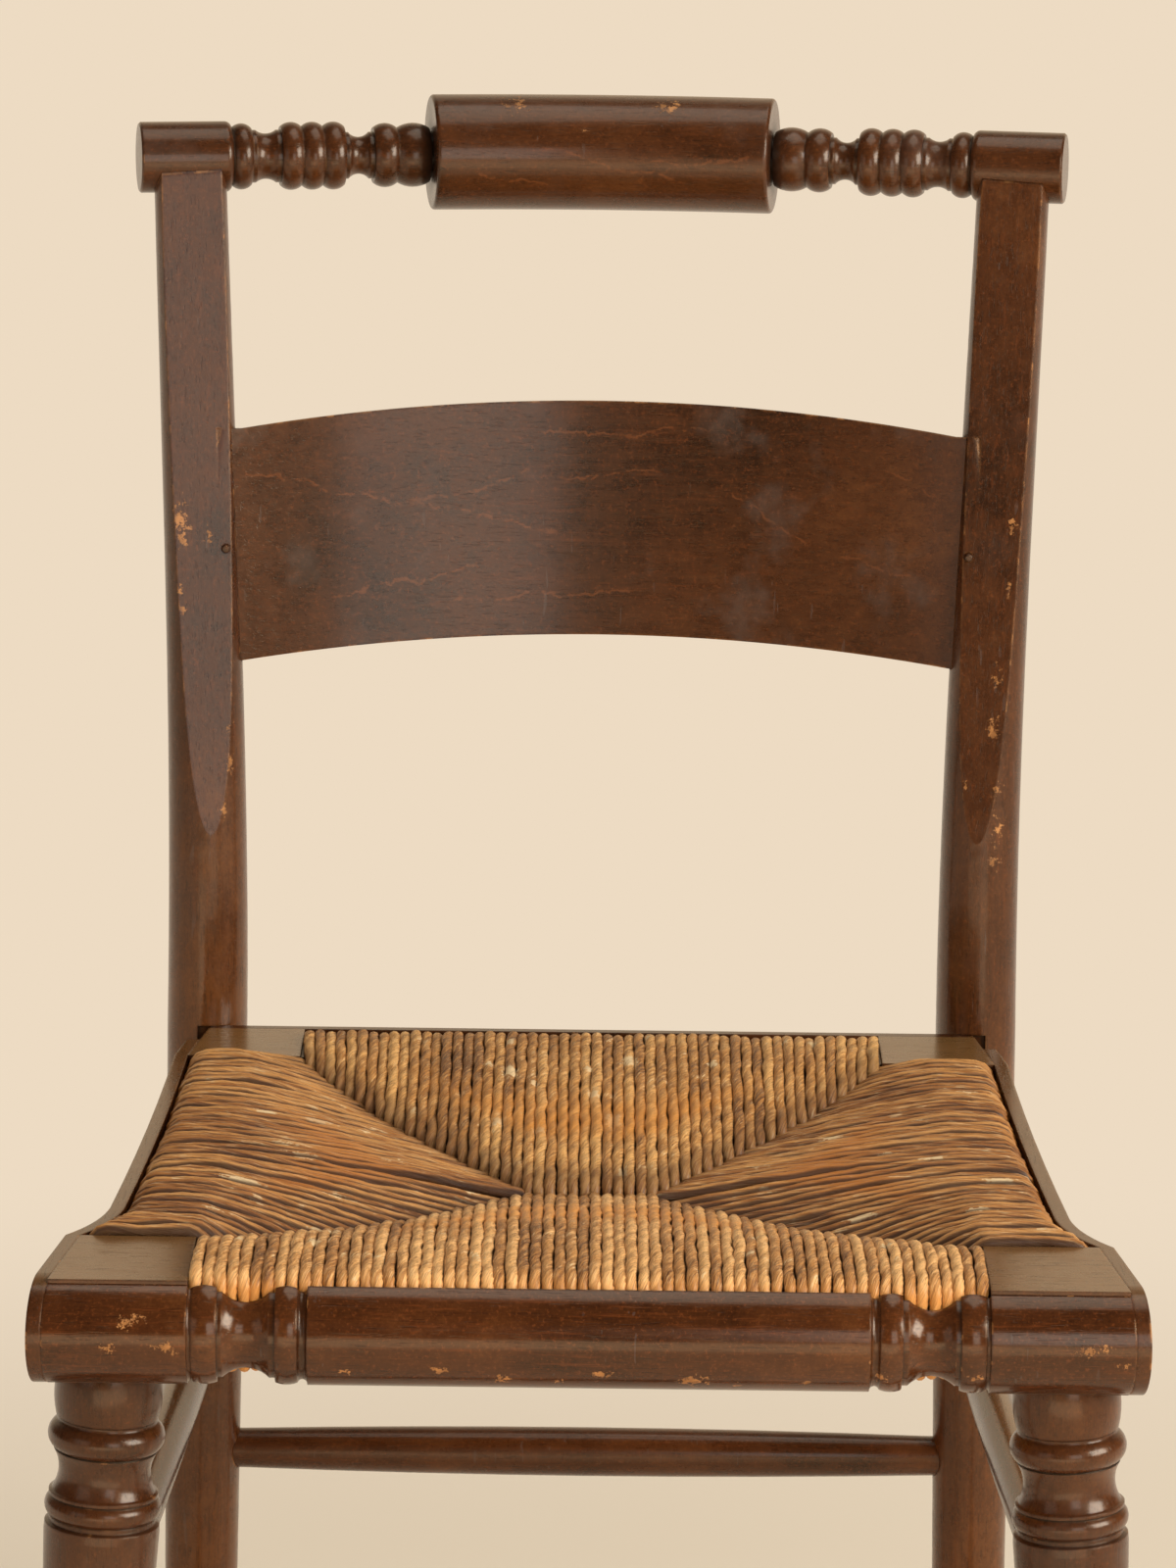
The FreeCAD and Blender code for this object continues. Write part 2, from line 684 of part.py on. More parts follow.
# Thin strips that cover the sides and the back of the seat frame
def sideStrip():
    body = newBody("side_strip_right")
    radius = s.rollRadius
    middle = s.seatTop - radius
    rise = -radius * quarterRise
    outline = [
        (radius, s.seatTop, rise), (0, middle, rise), (radius, middle - radius),
        (s.frontBlockBack, seatBottom), (stripBack, stripBackBottom),
        (stripBack, s.seatTop - s.stripBevelDrop), (stripBack - s.stripBevel, s.seatTop)]
    start = seatHalfPost - 2 * s.stripThickness
    length = s.seatHalfFront + 2 * s.stripThickness - start
    pad(body, "Elevation", sideSketch(body, "ElevationSide", [outline], start), length)
    before, behind = -s.rollRadius, stripBack + s.stripThickness
    inner = sideLine(0)
    outer = sideLine(s.stripThickness)
    waste = [(start - far, before), (s.seatHalfFront, before)] + inner
    waste += [(seatHalfPost, behind), (start - far, behind)]
    cut(body, "InnerFace", planSketch(body, "InnerFacePlan", [waste], s.seatTop), 4 * far)
    waste = [(2 * far, before), (s.seatHalfFront + s.stripThickness, before)] + outer
    waste += [(seatHalfPost + s.stripThickness, behind), (2 * far, behind)]
    cut(body, "OuterFace", planSketch(body, "OuterFacePlan", [waste], s.seatTop), 4 * far)
    nails = frontNails() + backNails()
    nailPilots(body, nails)
    for number, outside in enumerate(nails, start=1):
        deep = Vector(s.nailWide.value, 0, 0)
        rod(body, "NailSeat%d" % number, "Subtractive", s.nailHeadWide, outside + deep,
            outside - deep)
    return body


def backStrip():
    body = newBody("back_strip")
    bottom = s.seatTop - s.backStripHeight
    box(body, "Strip", "Additive", (-seatHalfPost, s.backBlockBack, bottom),
        (seatHalfPost, stripBack, s.seatTop))
    head, tip = screwLine()
    for name, side in (("Right", 1), ("Left", -1)):
        rod(body, "ScrewHole" + name, "Subtractive", s.screwWide,
            Vector(side * head.x, head.y, head.z), Vector(side * tip.x, tip.y, tip.z))
    return body


# Rush seat: four panels wound over the rails and drawn down to the seams
rushTop = railTop + rushWrap
rushBottom = railBottom - rushWrap


def rushOutline(outer, railEdge, corner, tip, inward):
    """Outside of a panel's section, from its outer edge to the seam it runs in to."""
    nose = s.rushNose
    rise = -inward * nose * quarterRise
    return [
        (tip, rushCentreTop), (corner, rushSeamTop), (railEdge, rushTop),
        (outer + inward * nose, rushTop, rise), (outer, rushTop - nose),
        (outer, rushBottom + nose, rise), (outer + inward * nose, rushBottom),
        (railEdge, rushBottom), (corner, rushBottom), (tip, rushCentreBottom)]


def pocketOutline(outer, railEdge, corner, tip, inward):
    """Inside of a panel's section: the room for the rail and for the stuffing."""
    layer = s.rushLayer
    end = tip - inward * s.stuffingInset
    start = outer + inward * layer
    return [
        (end, rushCentreTop - layer), (corner, rushSeamTop - layer),
        (railEdge + inward * s.rushGap, rushTop - layer), (start, rushTop - layer),
        (start, rushBottom + layer), (corner, rushBottom + layer),
        (end, rushCentreBottom + layer)]


def stuffingOutline(railEdge, corner, tip, inward):
    """Section of the stuffing behind a rail."""
    end = tip - inward * (s.stuffingInset + s.rushGap)
    return [
        (end, rushCentreTop - rushWrap), (corner, rushSeamTop - rushWrap),
        (railEdge + inward * 2 * s.rushGap, rushSeamTop - rushWrap),
        (railEdge + inward * 2 * s.rushGap, rushBottom + rushWrap), (corner, rushBottom + rushWrap),
        (end, rushCentreBottom + rushWrap)]


# Front and back panels: edge of the rush, far side of the rail, corner of the block, half width
frontPanel = (frontRailFront - rushWrap, frontRailBack,
              s.frontBlockBack, frontBlockInner, 1)
backPanel = (backRailBack + rushWrap, backRailFront,
             backBlockFront, backBlockInner, -1)


def trimAtSeams(body, panel):
    """Cut a front or back panel along its two mitre seams."""
    outer, railEdge, corner, halfWidth, inward = panel
    beyond = s.seamDepth + inward
    outlines = [[
        (side * s.seamHalf, s.seamDepth), (side * halfWidth, corner), (side * far, corner),
        (side * far, beyond), (side * s.seamHalf, beyond)] for side in (1, -1)]
    cut(body, "Seams", planSketch(body, "SeamPlan", outlines, s.seatTop), 4 * far)


def longPanel(label, panel):
    body = newBody(label)
    outer, railEdge, corner, halfWidth, inward = panel
    loops = [
        rushOutline(outer, railEdge, corner, s.seamDepth, inward),
        pocketOutline(outer, railEdge, corner, s.seamDepth, inward)]
    pad(body, "Rush", sideSketch(body, "RushSide", loops), 2 * (halfWidth - s.rushGap), True)
    trimAtSeams(body, panel)
    return body


def longStuffing(label, panel):
    body = newBody(label)
    outer, railEdge, corner, halfWidth, inward = panel
    loop = stuffingOutline(railEdge, corner, s.seamDepth, inward)
    pad(body, "Stuffing", sideSketch(body, "StuffingSide", [loop]), 2 * (halfWidth - 1), True)
    trimAtSeams(body, panel)
    return body


def sideStations():
    """y of each cross section of a side panel, with the seat's half width there."""
    front = s.frontBlockBack + s.rushGap
    back = backBlockFront - s.rushGap
    return [
        (front, seatHalfBlock),
        ((s.frontBlockBack + flareEnd) / 2,
         (seatHalfBlock + seatHalfFlare) / 2 - s.flareRise),
        (flareEnd, seatHalfFlare),
        ((flareEnd + backBlockFront) / 2,
         (seatHalfFlare + s.seatHalfBack) / 2 - s.waistRise),
        (back, s.seatHalfBack),
    ]


def sidePanelSections(body, name, kind):
    sketches = []
    for number, (y, halfWidth) in enumerate(sideStations(), start=1):
        outer = halfWidth - s.rushSideGap
        straight = along(y, s.frontBlockBack, backBlockFront,
                         seatHalfFlare, s.seatHalfBack)
        railEdge = straight - railInset - s.sideRailWidth
        corner = along(y, s.frontBlockBack, backBlockFront,
                       frontBlockInner, backBlockInner)
        if kind == "stuffing":
            loop = stuffingOutline(railEdge, corner, s.seamHalf, -1)
        elif kind == "pocket":
            loop = pocketOutline(outer, railEdge, corner, s.seamHalf, -1)
        else:
            loop = rushOutline(outer, railEdge, corner, s.seamHalf, -1)
        sketches.append(crossSketch(body, "%s%d" % (name, number), [loop], y))
    return sketches


def trimSideAtSeams(body):
    outline = [
        (s.seamHalf, s.seamDepth), (frontBlockInner, s.frontBlockBack),
        (frontBlockInner, 0), (0, 0), (0, stripBack), (backBlockInner, stripBack),
        (backBlockInner, backBlockFront)]
    cut(body, "Seams", planSketch(body, "SeamPlan", [outline], s.seatTop), 4 * far)


def sidePanel():
    body = newBody("rush_right")
    loft(body, "Rush", sidePanelSections(body, "Section", "rush"), ruled=True)
    loft(body, "Pocket", sidePanelSections(body, "PocketSection", "pocket"),
         "SubtractiveLoft", ruled=True)
    trimSideAtSeams(body)
    return body


def sideStuffing():
    body = newBody("side_stuffing")
    loft(body, "Stuffing", sidePanelSections(body, "Section", "stuffing"), ruled=True)
    trimSideAtSeams(body)
    return body


# Back posts
slatMiddleZ = (slatTopEnd + slatBottomEnd) / 2
slatMiddleY = along(slatMiddleZ, postBackZ, postSlatZ, postBackY, postSlatY)
slatSlope = (postSlatY - postBackY) / (postSlatZ - postBackZ)
slatRake = Rotation(Vector(1, 0, 0), -math.degrees(math.atan(float(slatSlope))))
slatPlace = Placement(point(0, slatMiddleY, slatMiddleZ), slatRake)
slatHalfHeight = (slatTopEnd - slatBottomEnd) / 2 * root(1 + slatSlope * slatSlope)
slatRadius = (slatHalf * slatHalf + s.slatBow * s.slatBow) / (2 * s.slatBow)

pillowEnd = point(pillowHalf, pillowY - s.pillowBend
                  + root(s.pillowBend * s.pillowBend - pillowHalf * pillowHalf), crestZ)
armAngle = math.radians(float(s.armAngle))
armWay = Vector(math.cos(armAngle), -math.sin(armAngle), 0)


def crestAxis(x):
    """Middle of the crest's arm at a distance from the chair's middle plane."""
    return pillowEnd + armWay * ((float(x) - pillowEnd.x) / armWay.x)


def slatBand(startX, endX, grow):
    """The slat's curved band between two x, thicker by grow on each face."""
    corners = []
    for side in (-1, 1):
        radius = slatRadius + side * (s.slatThickness / 2 + grow)
        ends = []
        for x in (startX, endX):
            turnShare = size(x) / slatRadius
            upShare = root(1 - turnShare * turnShare)
            ends.append((radius * turnShare, s.slatBow - slatRadius + radius * upShare))
        spanX = ends[1][0] - ends[0][0]
        spanY = ends[1][1] - ends[0][1]
        chord = spanX * spanX + spanY * spanY
        rise = radius - root(radius * radius - chord / 4)
        if side < 0:
            corners += [ends[0] + (rise,), ends[1]]
        else:
            corners += [ends[1] + (-rise,), ends[0]]
    return corners


def slatPin():
    """Back end and front end of the right slat pin."""
    x = slatHalf + s.slatTenonLength / 2
    radius = float(s.postSlatWide) / 2
    axisX = float(along(slatMiddleZ, postBackZ, postSlatZ, postBackX, postSlatX))
    reach = math.sqrt(radius ** 2 - (axisX - float(x)) ** 2)
    back = point(x, float(slatMiddleY) + reach - 0.5, slatMiddleZ)
    return back, back - Vector(0, float(s.pinLength), 0)


def postTenon(room=0):
    """Bottom and top of the right post's tenon, longer by room at its top."""
    onAxis = crestAxis(postTopX)
    y = (onAxis.y + float(postTopY)) / 2
    top = float(crestZ - s.barrelWide / 2 + s.postTenonLength) + room
    return (Vector(float(postTopX), y, float(crestZ - s.barrelWide)),
            Vector(float(postTopX), y, top))


def backPost():
    body = newBody("back_post_right")
    lower = []
    for z, diameter in (
            (0, s.postFootWide), (s.postShinZ, s.postShinWide), (s.postKneeZ, s.postKneeWide),
            (s.seatTop, s.postSeatWide)):
        x = along(z, 0, s.seatTop, postFootX, postSeatX)
        y = along(z, 0, s.seatTop, postFootY, postSeatY)
        lower.append((z, x, y, diameter))
    upper = [
        lower[-1],
        (postWaistZ, postWaistX, postWaistY, s.postWaistWide),
        (postBackZ, postBackX, postBackY, s.postBackWide),
        (postSlatZ, postSlatX, postSlatY, s.postSlatWide),
        (crestZ, postTopX, postTopY, s.postTopWide)]
    for name, stations, ruled in (("Lower", lower, True), ("Upper", upper, False)):
        sketches = []
        for number, (z, x, y, diameter) in enumerate(stations, start=1):
            sketch = planSketch(body, "%sSection%d" % (name, number), [], z)
            drawCircle(sketch, x, y, diameter)
            sketches.append(sketch)
        loft(body, name + "Post", sketches, ruled=ruled)

    # Facet planed on the front of the upper post, running out of the wood at its foot
    barrelFront = crestAxis(postTopX).y - float(s.barrelWide) / 2
    facetTop = crestZ + s.barrelWide
    facetLean = along(facetTop, facetFootZ, crestZ, 0, barrelFront - facetFootY)
    facetEnd = facetFootZ - s.barrelWide
    facetEndLean = along(facetEnd, facetFootZ, facetTop, 0, facetLean)
    facetAt = Placement(point(facetFootY, 0, postTopX),
                        Rotation(Vector(0, 1, 0), -float(s.facetTurn)))
    sketch = newSketch(body, "FacetSide", "YZ_Plane", facetAt)
    drawLoop(sketch, [
        (facetEndLean, facetEnd), (0, facetFootZ, -s.facetHollow), (facetLean, facetTop),
        (facetLean - far, facetTop), (facetLean - far, facetEnd)])
    cut(body, "Facet", sketch, 2 * s.postSeatWide)

    # Saddle and tenon for the crest rail
    rod(body, "Saddle", "Subtractive", s.barrelWide + 2 * s.fit,
        crestAxis(postTopX - s.barrelLong), crestAxis(postTopX + s.barrelLong))
    rod(body, "Tenon", "Additive", s.postTenonWide, *postTenon())

    # Flat for the back strip, and the screw that holds the seat frame
    box(body, "SeatFlat", "Subtractive",
        (postSeatX - s.postSeatWide, s.backBlockBack - s.postSeatWide,
         s.seatTop - s.backStripHeight - s.fit),
        (seatHalfPost + s.stripThickness + s.fit, stripBack + s.fit, s.seatTop + s.fit))
    head, tip = screwLine()
    back = head + Vector(0, float(s.postSeatWide), 0)
    rod(body, "ScrewHole", "Subtractive", s.screwWide, back, tip)
    rod(body, "ScrewSink", "Subtractive", s.screwHeadWide + 2 * s.fit, back, head)

    # Slat mortise with its pin hole
    sketch = newSketch(body, "MortisePlan", at=slatPlace)
    drawLoop(sketch, slatBand(slatHalf - s.slatTenonLength,
                              slatHalf + s.slatTenonLength + 2 * s.fit, s.fit))
    cut(body, "Mortise", sketch, 2 * (slatHalfHeight + s.fit))
    back, front = slatPin()
    rod(body, "PinHole", "Subtractive", s.pinWide, back + Vector(0, float(s.pinWide), 0), front)

    for name, socket in postSockets.items():
        rod(body, name, "Subtractive", s.stretcherEndWide + 2 * s.fit, *socket)
    return body


# Stretchers, as lines between the axes of the legs that they join
def stretcherLine(start, end):
    """Ends of a stretcher that stops short of both leg axes."""
    way = (end - start).normalize() * float(s.stretcherInset)
    return start + way, end - way


def socketAt(end, towards):
    """A socket from just behind a stretcher's end out of the leg."""
    way = (towards - end).normalize()
    return end - way, end + way * float(s.postSeatWide)


def acrossTo(place):
    return Vector(-place.x, place.y, place.z)


rearLine = stretcherLine(acrossTo(postAxis(s.rearStretcherZ)), postAxis(s.rearStretcherZ))
frontLine = stretcherLine(acrossTo(legAxis(s.frontStretcherZ)), legAxis(s.frontStretcherZ))
upperLine = stretcherLine(legAxis(s.upperStretcherZ), postAxis(s.upperStretcherZ))
lowerLine = stretcherLine(legAxis(s.lowerStretcherZ), postAxis(s.lowerStretcherZ))
postSockets = {
    "RearSocket": socketAt(rearLine[1], rearLine[0]),
    "UpperSocket": socketAt(upperLine[1], upperLine[0]),
    "LowerSocket": socketAt(lowerLine[1], lowerLine[0]),
}
legSockets = {
    "FrontSocket": socketAt(frontLine[1], frontLine[0]),
    "UpperSocket": socketAt(upperLine[0], upperLine[1]),
    "LowerSocket": socketAt(lowerLine[0], lowerLine[1]),
}


def plainStretcher(label, line, diameter):
    body = newBody(label)
    length = (line[1] - line[0]).Length
    end = s.stretcherEndLength
    swell = (s.stretcherEndWide - diameter) / 2
    outline = [
        (0, s.stretcherEndWide), (end, s.stretcherEndWide, swell),
        (length - end, s.stretcherEndWide), (length, s.stretcherEndWide)]
    turned(body, "Turning", outline, *line)
    return body


def frontStretcherHalf():
    """Turned like the crest: a plain middle with a bead and a cove at each side."""
    body = newBody("front_stretcher_half")
    full = s.frontStretcherWide
    beadFoot = full - s.stretcherBeadFoot
    neck = full - s.stretcherNeck
    beadRise = -s.stretcherBeadFoot / 2
    end = frontLine[1]
    reach = s.stretcherPlain
    outline = [(0, full), (reach, full), (reach, beadFoot, beadRise)]
    reach = reach + s.stretcherBead
    outline += [(reach, beadFoot), (reach, neck)]
    reach = reach + s.stretcherFillet
    outline += [(reach, neck, s.stretcherFillet)]
    reach = reach + s.stretcherCove
    outline += [(reach, neck)]
    reach = reach + s.stretcherFillet
    outline += [(reach, neck), (reach, beadFoot, beadRise)]
    reach = reach + s.stretcherBead
    outline += [
        (reach, beadFoot), (reach, neck), (end.x - s.stretcherEndLength, s.stretcherEndWide),
        (end.x, s.stretcherEndWide)]
    turned(body, "Turning", outline, Vector(0, end.y, end.z), end)
    return body


# Front legs, turned, with a tenon up into the front block
# Rows of the head: distance below the block, diameter, and the rise of an arc to the next row
legHead = [
    (0, 42, -1.3), (21, 42), (21.6, 40.6), (22.4, 40.6),
    (23, 41, -3.5), (35, 41), (35.4, 42.5, 2.4), (52.4, 42.5), (53, 45), (54.4, 45),
    (54.8, 43.4, -2.3), (63.6, 43.4), (64, 44), (65.6, 44), (66.4, 47.2), (70, 47.6)]
# Rows of the foot: distance up from the floor, diameter and rise, from the taper's end down
legFoot = [
    (138, 34.4), (136, 31), (134, 31), (133.6, 31.4, -2.6), (123, 31.4),
    (122, 30.6, 2.2), (107, 30.6), (106, 29.6, -2.2), (97, 29.6), (96, 27),
    (93, 27, -1.2), (28, 21)]


def frontLeg():
    body = newBody("front_leg_right")
    way = legUp * -1
    sink = 20
    length = (legTop - legAxis(0)).Length
    outline = [(-s.legTenonLength, s.legTenonWide), (0, s.legTenonWide)] + legHead
    outline += [(length - up, diameter, *rise) for up, diameter, *rise in legFoot]
    outline += [(length + sink, legFoot[-1][1])]
    turned(body, "Turning", outline, legTop, legTop + way)
    foot = legFootX + s.postFootWide
    box(body, "Floor", "Subtractive", (0, -far, -2 * sink), (foot + far, far, 0))
    for name, socket in legSockets.items():
        rod(body, name, "Subtractive", s.stretcherEndWide + 2 * s.fit, *socket)
    return body


# Crest rail: a bent pillow between two turned arms, all one piece of wood
def crestPillow():
    body = newBody("crest_pillow")
    hub = pillowY - s.pillowBend
    sketch = newSketch(body, "PillowSection", "YZ_Plane", standing(hub, 0, 0))
    bind(sketch, "AttachmentOffset.Base.x", hub)
    drawCircle(sketch, s.pillowBend, pillowZ, s.pillowWide)
    sweep = 2 * math.degrees(math.asin(float(pillowHalf) / float(s.pillowBend)))
    pillow = turn(body, "Pillow", sketch, angle=sweep)
    doc.recompute()
    rims = []
    for number, edge in enumerate(pillow.Shape.Edges, start=1):
        if abs(abs(edge.CenterOfMass.x) - pillowEnd.x) < 1:
            rims.append("Edge%d" % number)
    edges = body.newObject("PartDesign::Fillet", "PillowEdges")
    edges.Base = (pillow, rims)
    bind(edges, "Radius", s.pillowEdge)
    return body


def crestArm():
    body = newBody("crest_arm")
    fillet = s.crestFilletWide
    reach = s.armSink + 1
    outline = [(0, fillet), (reach, fillet)]

    def bead(length, wide, rise):
        nonlocal reach
        outline.append((reach, wide - 2 * rise, -rise))
        reach = reach + length
        outline.append((reach, wide - 2 * rise))

    def cove(wide, least):
        nonlocal reach
        outline.append((reach, wide))
        reach = reach + s.crestFilletLong
        outline.append((reach, wide, (wide - least) / 2))
        reach = reach + s.crestCoveLong
        outline.append((reach, wide))
        reach = reach + s.crestFilletLong
        outline.append((reach, wide))

    bead(s.beadLong, s.beadWide, 2.2)
    bead(s.beadShort, s.beadWide, 2)
    cove(fillet, s.innerCoveWide)
    for _ in range(3):
        bead(s.tripleLong, s.tripleWide, 2)
    cove(s.outerCoveWide + 3.4, s.outerCoveWide)
    bead(s.outerBeadLong, s.outerBeadWide, 2)
    outline.append((reach, s.barrelWide - 2 * s.shoulderLong, -s.barrelEdge))
    outline.append((reach + s.shoulderLong, s.barrelWide))
    reach = reach + s.barrelLong
    outline.append((reach - s.barrelEdge, s.barrelWide))
    outline.append((reach, s.barrelWide - 2 * s.barrelEdge))
    start = pillowEnd - armWay * float(s.armSink)
    turned(body, "Arm", outline, start, start + armWay)
    rod(body, "PostSocket", "Subtractive", s.postTenonWide + 2 * s.fit, *postTenon(room=1))
    return body


# Slat, bowed in plan, arched in height and tenoned into the posts
def backSlat():
    body = newBody("back_slat")
    end = slatHalf + s.slatTenonLength
    half = slatHalfHeight
    sketch = newSketch(body, "BandPlan", at=slatPlace)
    drawLoop(sketch, slatBand(-end, end, 0))
    tall = 2 * (half + s.slatTopRise)
    pad(body, "Band", sketch, tall, True)
    face = slatPlace.multiply(Placement(Vector(), Rotation(Vector(1, 0, 0), 90)))
    sketch = newSketch(body, "Face", at=face)
    wide = end + s.slatThickness
    drawLoop(sketch, [(-wide, -tall), (wide, -tall), (wide, tall), (-wide, tall)])
    inner = slatHalf
    drawLoop(sketch, [
        (-end, -half), (-inner, -half, s.slatBottomRise), (inner, -half), (end, -half),
        (end, half), (inner, half, -s.slatTopRise), (-inner, half), (-end, half)])
    cut(body, "Outline", sketch, 4 * far)
    back, front = slatPin()
    for name, side in (("Right", 1), ("Left", -1)):
        rod(body, "PinHole" + name, "Subtractive", s.pinWide,
            Vector(side * back.x, back.y, back.z), Vector(side * front.x, front.y, front.z))
    return body


# Fasteners
def postScrew():
    body = newBody("post_screw")
    head, tip = screwLine()
    thick = s.screwHeadThick
    raised = Vector(0, float(thick), 0)
    length = (head - tip).Length
    outline = [
        (0, s.screwHeadWide - s.screwSlot), (s.screwSlot / 2, s.screwHeadWide),
        (thick, s.screwHeadWide), (thick, s.screwWide),
        (length - s.screwWide, s.screwWide), (length, s.screwSlot / 2)]
    turned(body, "Screw", outline, head + raised, tip + raised)
    slotFloor = head.y + thick - s.screwSlot
    box(body, "Slot", "Subtractive",
        (head.x - s.screwHeadWide, slotFloor, head.z - s.screwSlot / 2),
        (head.x + s.screwHeadWide, slotFloor + thick, head.z + s.screwSlot / 2))
    return body


def slatPinPiece():
    body = newBody("slat_pin")
    back, front = slatPin()
    outline = [
        (0, s.pinWide - 0.6), (0.6, s.pinWide), (s.pinLength - 1, s.pinWide),
        (s.pinLength, s.pinWide - 1)]
    turned(body, "Pin", outline, back, front)
    return body


def stripNail(number, outside):
    body = newBody("strip_nail_%d" % number)
    start = outside - Vector(3 * float(s.fit), 0, 0)
    outline = [
        (0, s.nailHeadWide), (s.nailHeadThick, s.nailHeadWide), (s.nailHeadThick, s.nailWide),
        (s.nailLength - s.nailHeadWide, s.nailWide), (s.nailLength, s.fit)]
    turned(body, "Nail", outline, start, start - Vector(1, 0, 0))
    return body


# Put the chair together: every piece slides forward so that the origin is under its middle
depthMiddle = (pillowY + s.pillowWide / 2) / 2


def seat(body):
    body.Placement = standing(0, -depthMiddle, 0)
    bind(body, "Placement.Base.y", -depthMiddle)
    return body


def otherSide(body, label):
    """The same piece for the left side."""
    twin = doc.addObject("Part::Mirroring", label)
    twin.Label = label
    twin.Source = body
    twin.Base = Vector(0, 0, 0)
    twin.Normal = Vector(1, 0, 0)
    return twin


def pair(body):
    return [body, otherSide(body, body.Label.replace("_right", "_left"))]


def group(label, members):
    """One node that holds several separate solids."""
    compound = doc.addObject("Part::Compound", label)
    compound.Label = label
    compound.Links = members
    return compound


def joined(label, pieces):
    """One piece of wood made of solids that run into each other."""
    fusion = doc.addObject("Part::MultiFuse", label)
    fusion.Label = label
    fusion.Shapes = pieces
    fusion.Refine = True
    return fusion


def whole(half):
    """A piece that is the same at both sides, from its right half."""
    label = half.Label.replace("_half", "")
    return joined(label, [seat(half), otherSide(half, label + "_left_half")])


crestArmRight = seat(crestArm())
nodes = [
    whole(frontRailHalf()), whole(backRailHalf()), whole(frontRollHalf()),
    seat(backStrip()),
    joined("crest_rail", [
        seat(crestPillow()), crestArmRight, otherSide(crestArmRight, "crest_arm_left")]),
    seat(backSlat()),
    seat(longPanel("rush_front", frontPanel)), seat(longPanel("rush_back", backPanel)),
    whole(frontStretcherHalf()),
    seat(plainStretcher("rear_stretcher", rearLine, s.rearStretcherWide)),
]
for piece in (
        sideRail(), sideStrip(), sidePanel(), backPost(), frontLeg(),
        plainStretcher("upper_stretcher_right", upperLine, s.sideStretcherWide),
        plainStretcher("lower_stretcher_right", lowerLine, s.sideStretcherWide)):
    nodes += pair(seat(piece))

stuffing = [
    seat(longStuffing("front_stuffing", frontPanel)),
    seat(longStuffing("back_stuffing", backPanel))]
stuffing.append(seat(sideStuffing()))
stuffing.append(otherSide(stuffing[-1], "side_stuffing_left"))
nodes.append(group("rush_stuffing", stuffing))
screw = seat(postScrew())
nodes.append(group("post_screws", [screw, otherSide(screw, "post_screw_left")]))
pin = seat(slatPinPiece())
nodes.append(group("slat_pins", [pin, otherSide(pin, "slat_pin_left")]))
nails = []
for number, outside in enumerate(frontNails() + backNails(), start=1):
    nail = seat(stripNail(number, outside))
    nails += [nail, otherSide(nail, nail.Label + "_left")]
nodes.append(group("strip_nails", nails))

doc.recompute()


def fault(thing):
    """What is wrong with an object of the document, or nothing."""
    if "Invalid" in thing.State or "Error" in thing.State:
        return "failed to build"
    return ""


faults = ["%s %s" % (thing.Label, fault(thing)) for thing in doc.Objects if fault(thing)]
for node in nodes:
    if node.Shape.isNull() or not node.Shape.isValid():
        faults.append(node.Label + " has no valid shape")
if faults:
    raise SystemExit("\n".join(faults))

os.makedirs("parts", exist_ok=True)
for node in nodes:
    node.Shape.exportStep(os.path.join("parts", node.Label + ".step"))
    box3d = node.Shape.BoundBox
    print("%-24s solids %d  volume %9.0f  x %7.1f %7.1f  y %7.1f %7.1f  z %6.1f %6.1f" % (
        node.Label, len(node.Shape.Solids), node.Shape.Volume, box3d.XMin, box3d.XMax,
        box3d.YMin, box3d.YMax, box3d.ZMin, box3d.ZMax))
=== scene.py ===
import math
import random

import bmesh
import bpy
from mathutils import Matrix, Vector


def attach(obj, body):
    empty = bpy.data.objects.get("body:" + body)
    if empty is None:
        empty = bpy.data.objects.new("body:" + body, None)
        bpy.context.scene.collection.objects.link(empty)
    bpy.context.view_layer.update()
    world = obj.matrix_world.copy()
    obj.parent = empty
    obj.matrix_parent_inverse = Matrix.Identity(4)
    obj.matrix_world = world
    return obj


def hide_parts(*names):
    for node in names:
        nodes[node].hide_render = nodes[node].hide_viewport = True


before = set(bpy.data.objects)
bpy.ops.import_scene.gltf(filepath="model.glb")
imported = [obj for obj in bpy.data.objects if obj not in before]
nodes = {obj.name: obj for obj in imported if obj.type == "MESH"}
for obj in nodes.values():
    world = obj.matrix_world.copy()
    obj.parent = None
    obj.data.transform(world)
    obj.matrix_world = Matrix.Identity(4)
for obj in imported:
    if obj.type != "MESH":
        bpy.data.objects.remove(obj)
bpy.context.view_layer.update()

# the drawing counts y back from the seat front, in mm; the origin is under the middle
depthMiddle = 268.25


def place(x, y, z):
    return Vector((x, y - depthMiddle, z)) / 1000


# camera at the photo's place
camera = {
    "at": (-3, -2600, 1243.3),
    "pitch": 12.74,
    "roll": 0.7,
    "lens": 155.25,
}


def makeCamera():
    data = bpy.data.cameras.new("camera")
    data.lens = camera["lens"]
    data.sensor_width = 36
    view = bpy.data.objects.new("camera", data)
    bpy.context.scene.collection.objects.link(view)
    turn = Matrix.Rotation(math.radians(90 - camera["pitch"]), 4, "X")
    turn = turn @ Matrix.Rotation(math.radians(camera["roll"]), 4, "Z")
    view.matrix_world = Matrix.Translation(place(*camera["at"])) @ turn
    bpy.context.scene.camera = view
    print("camera set")


makeCamera()


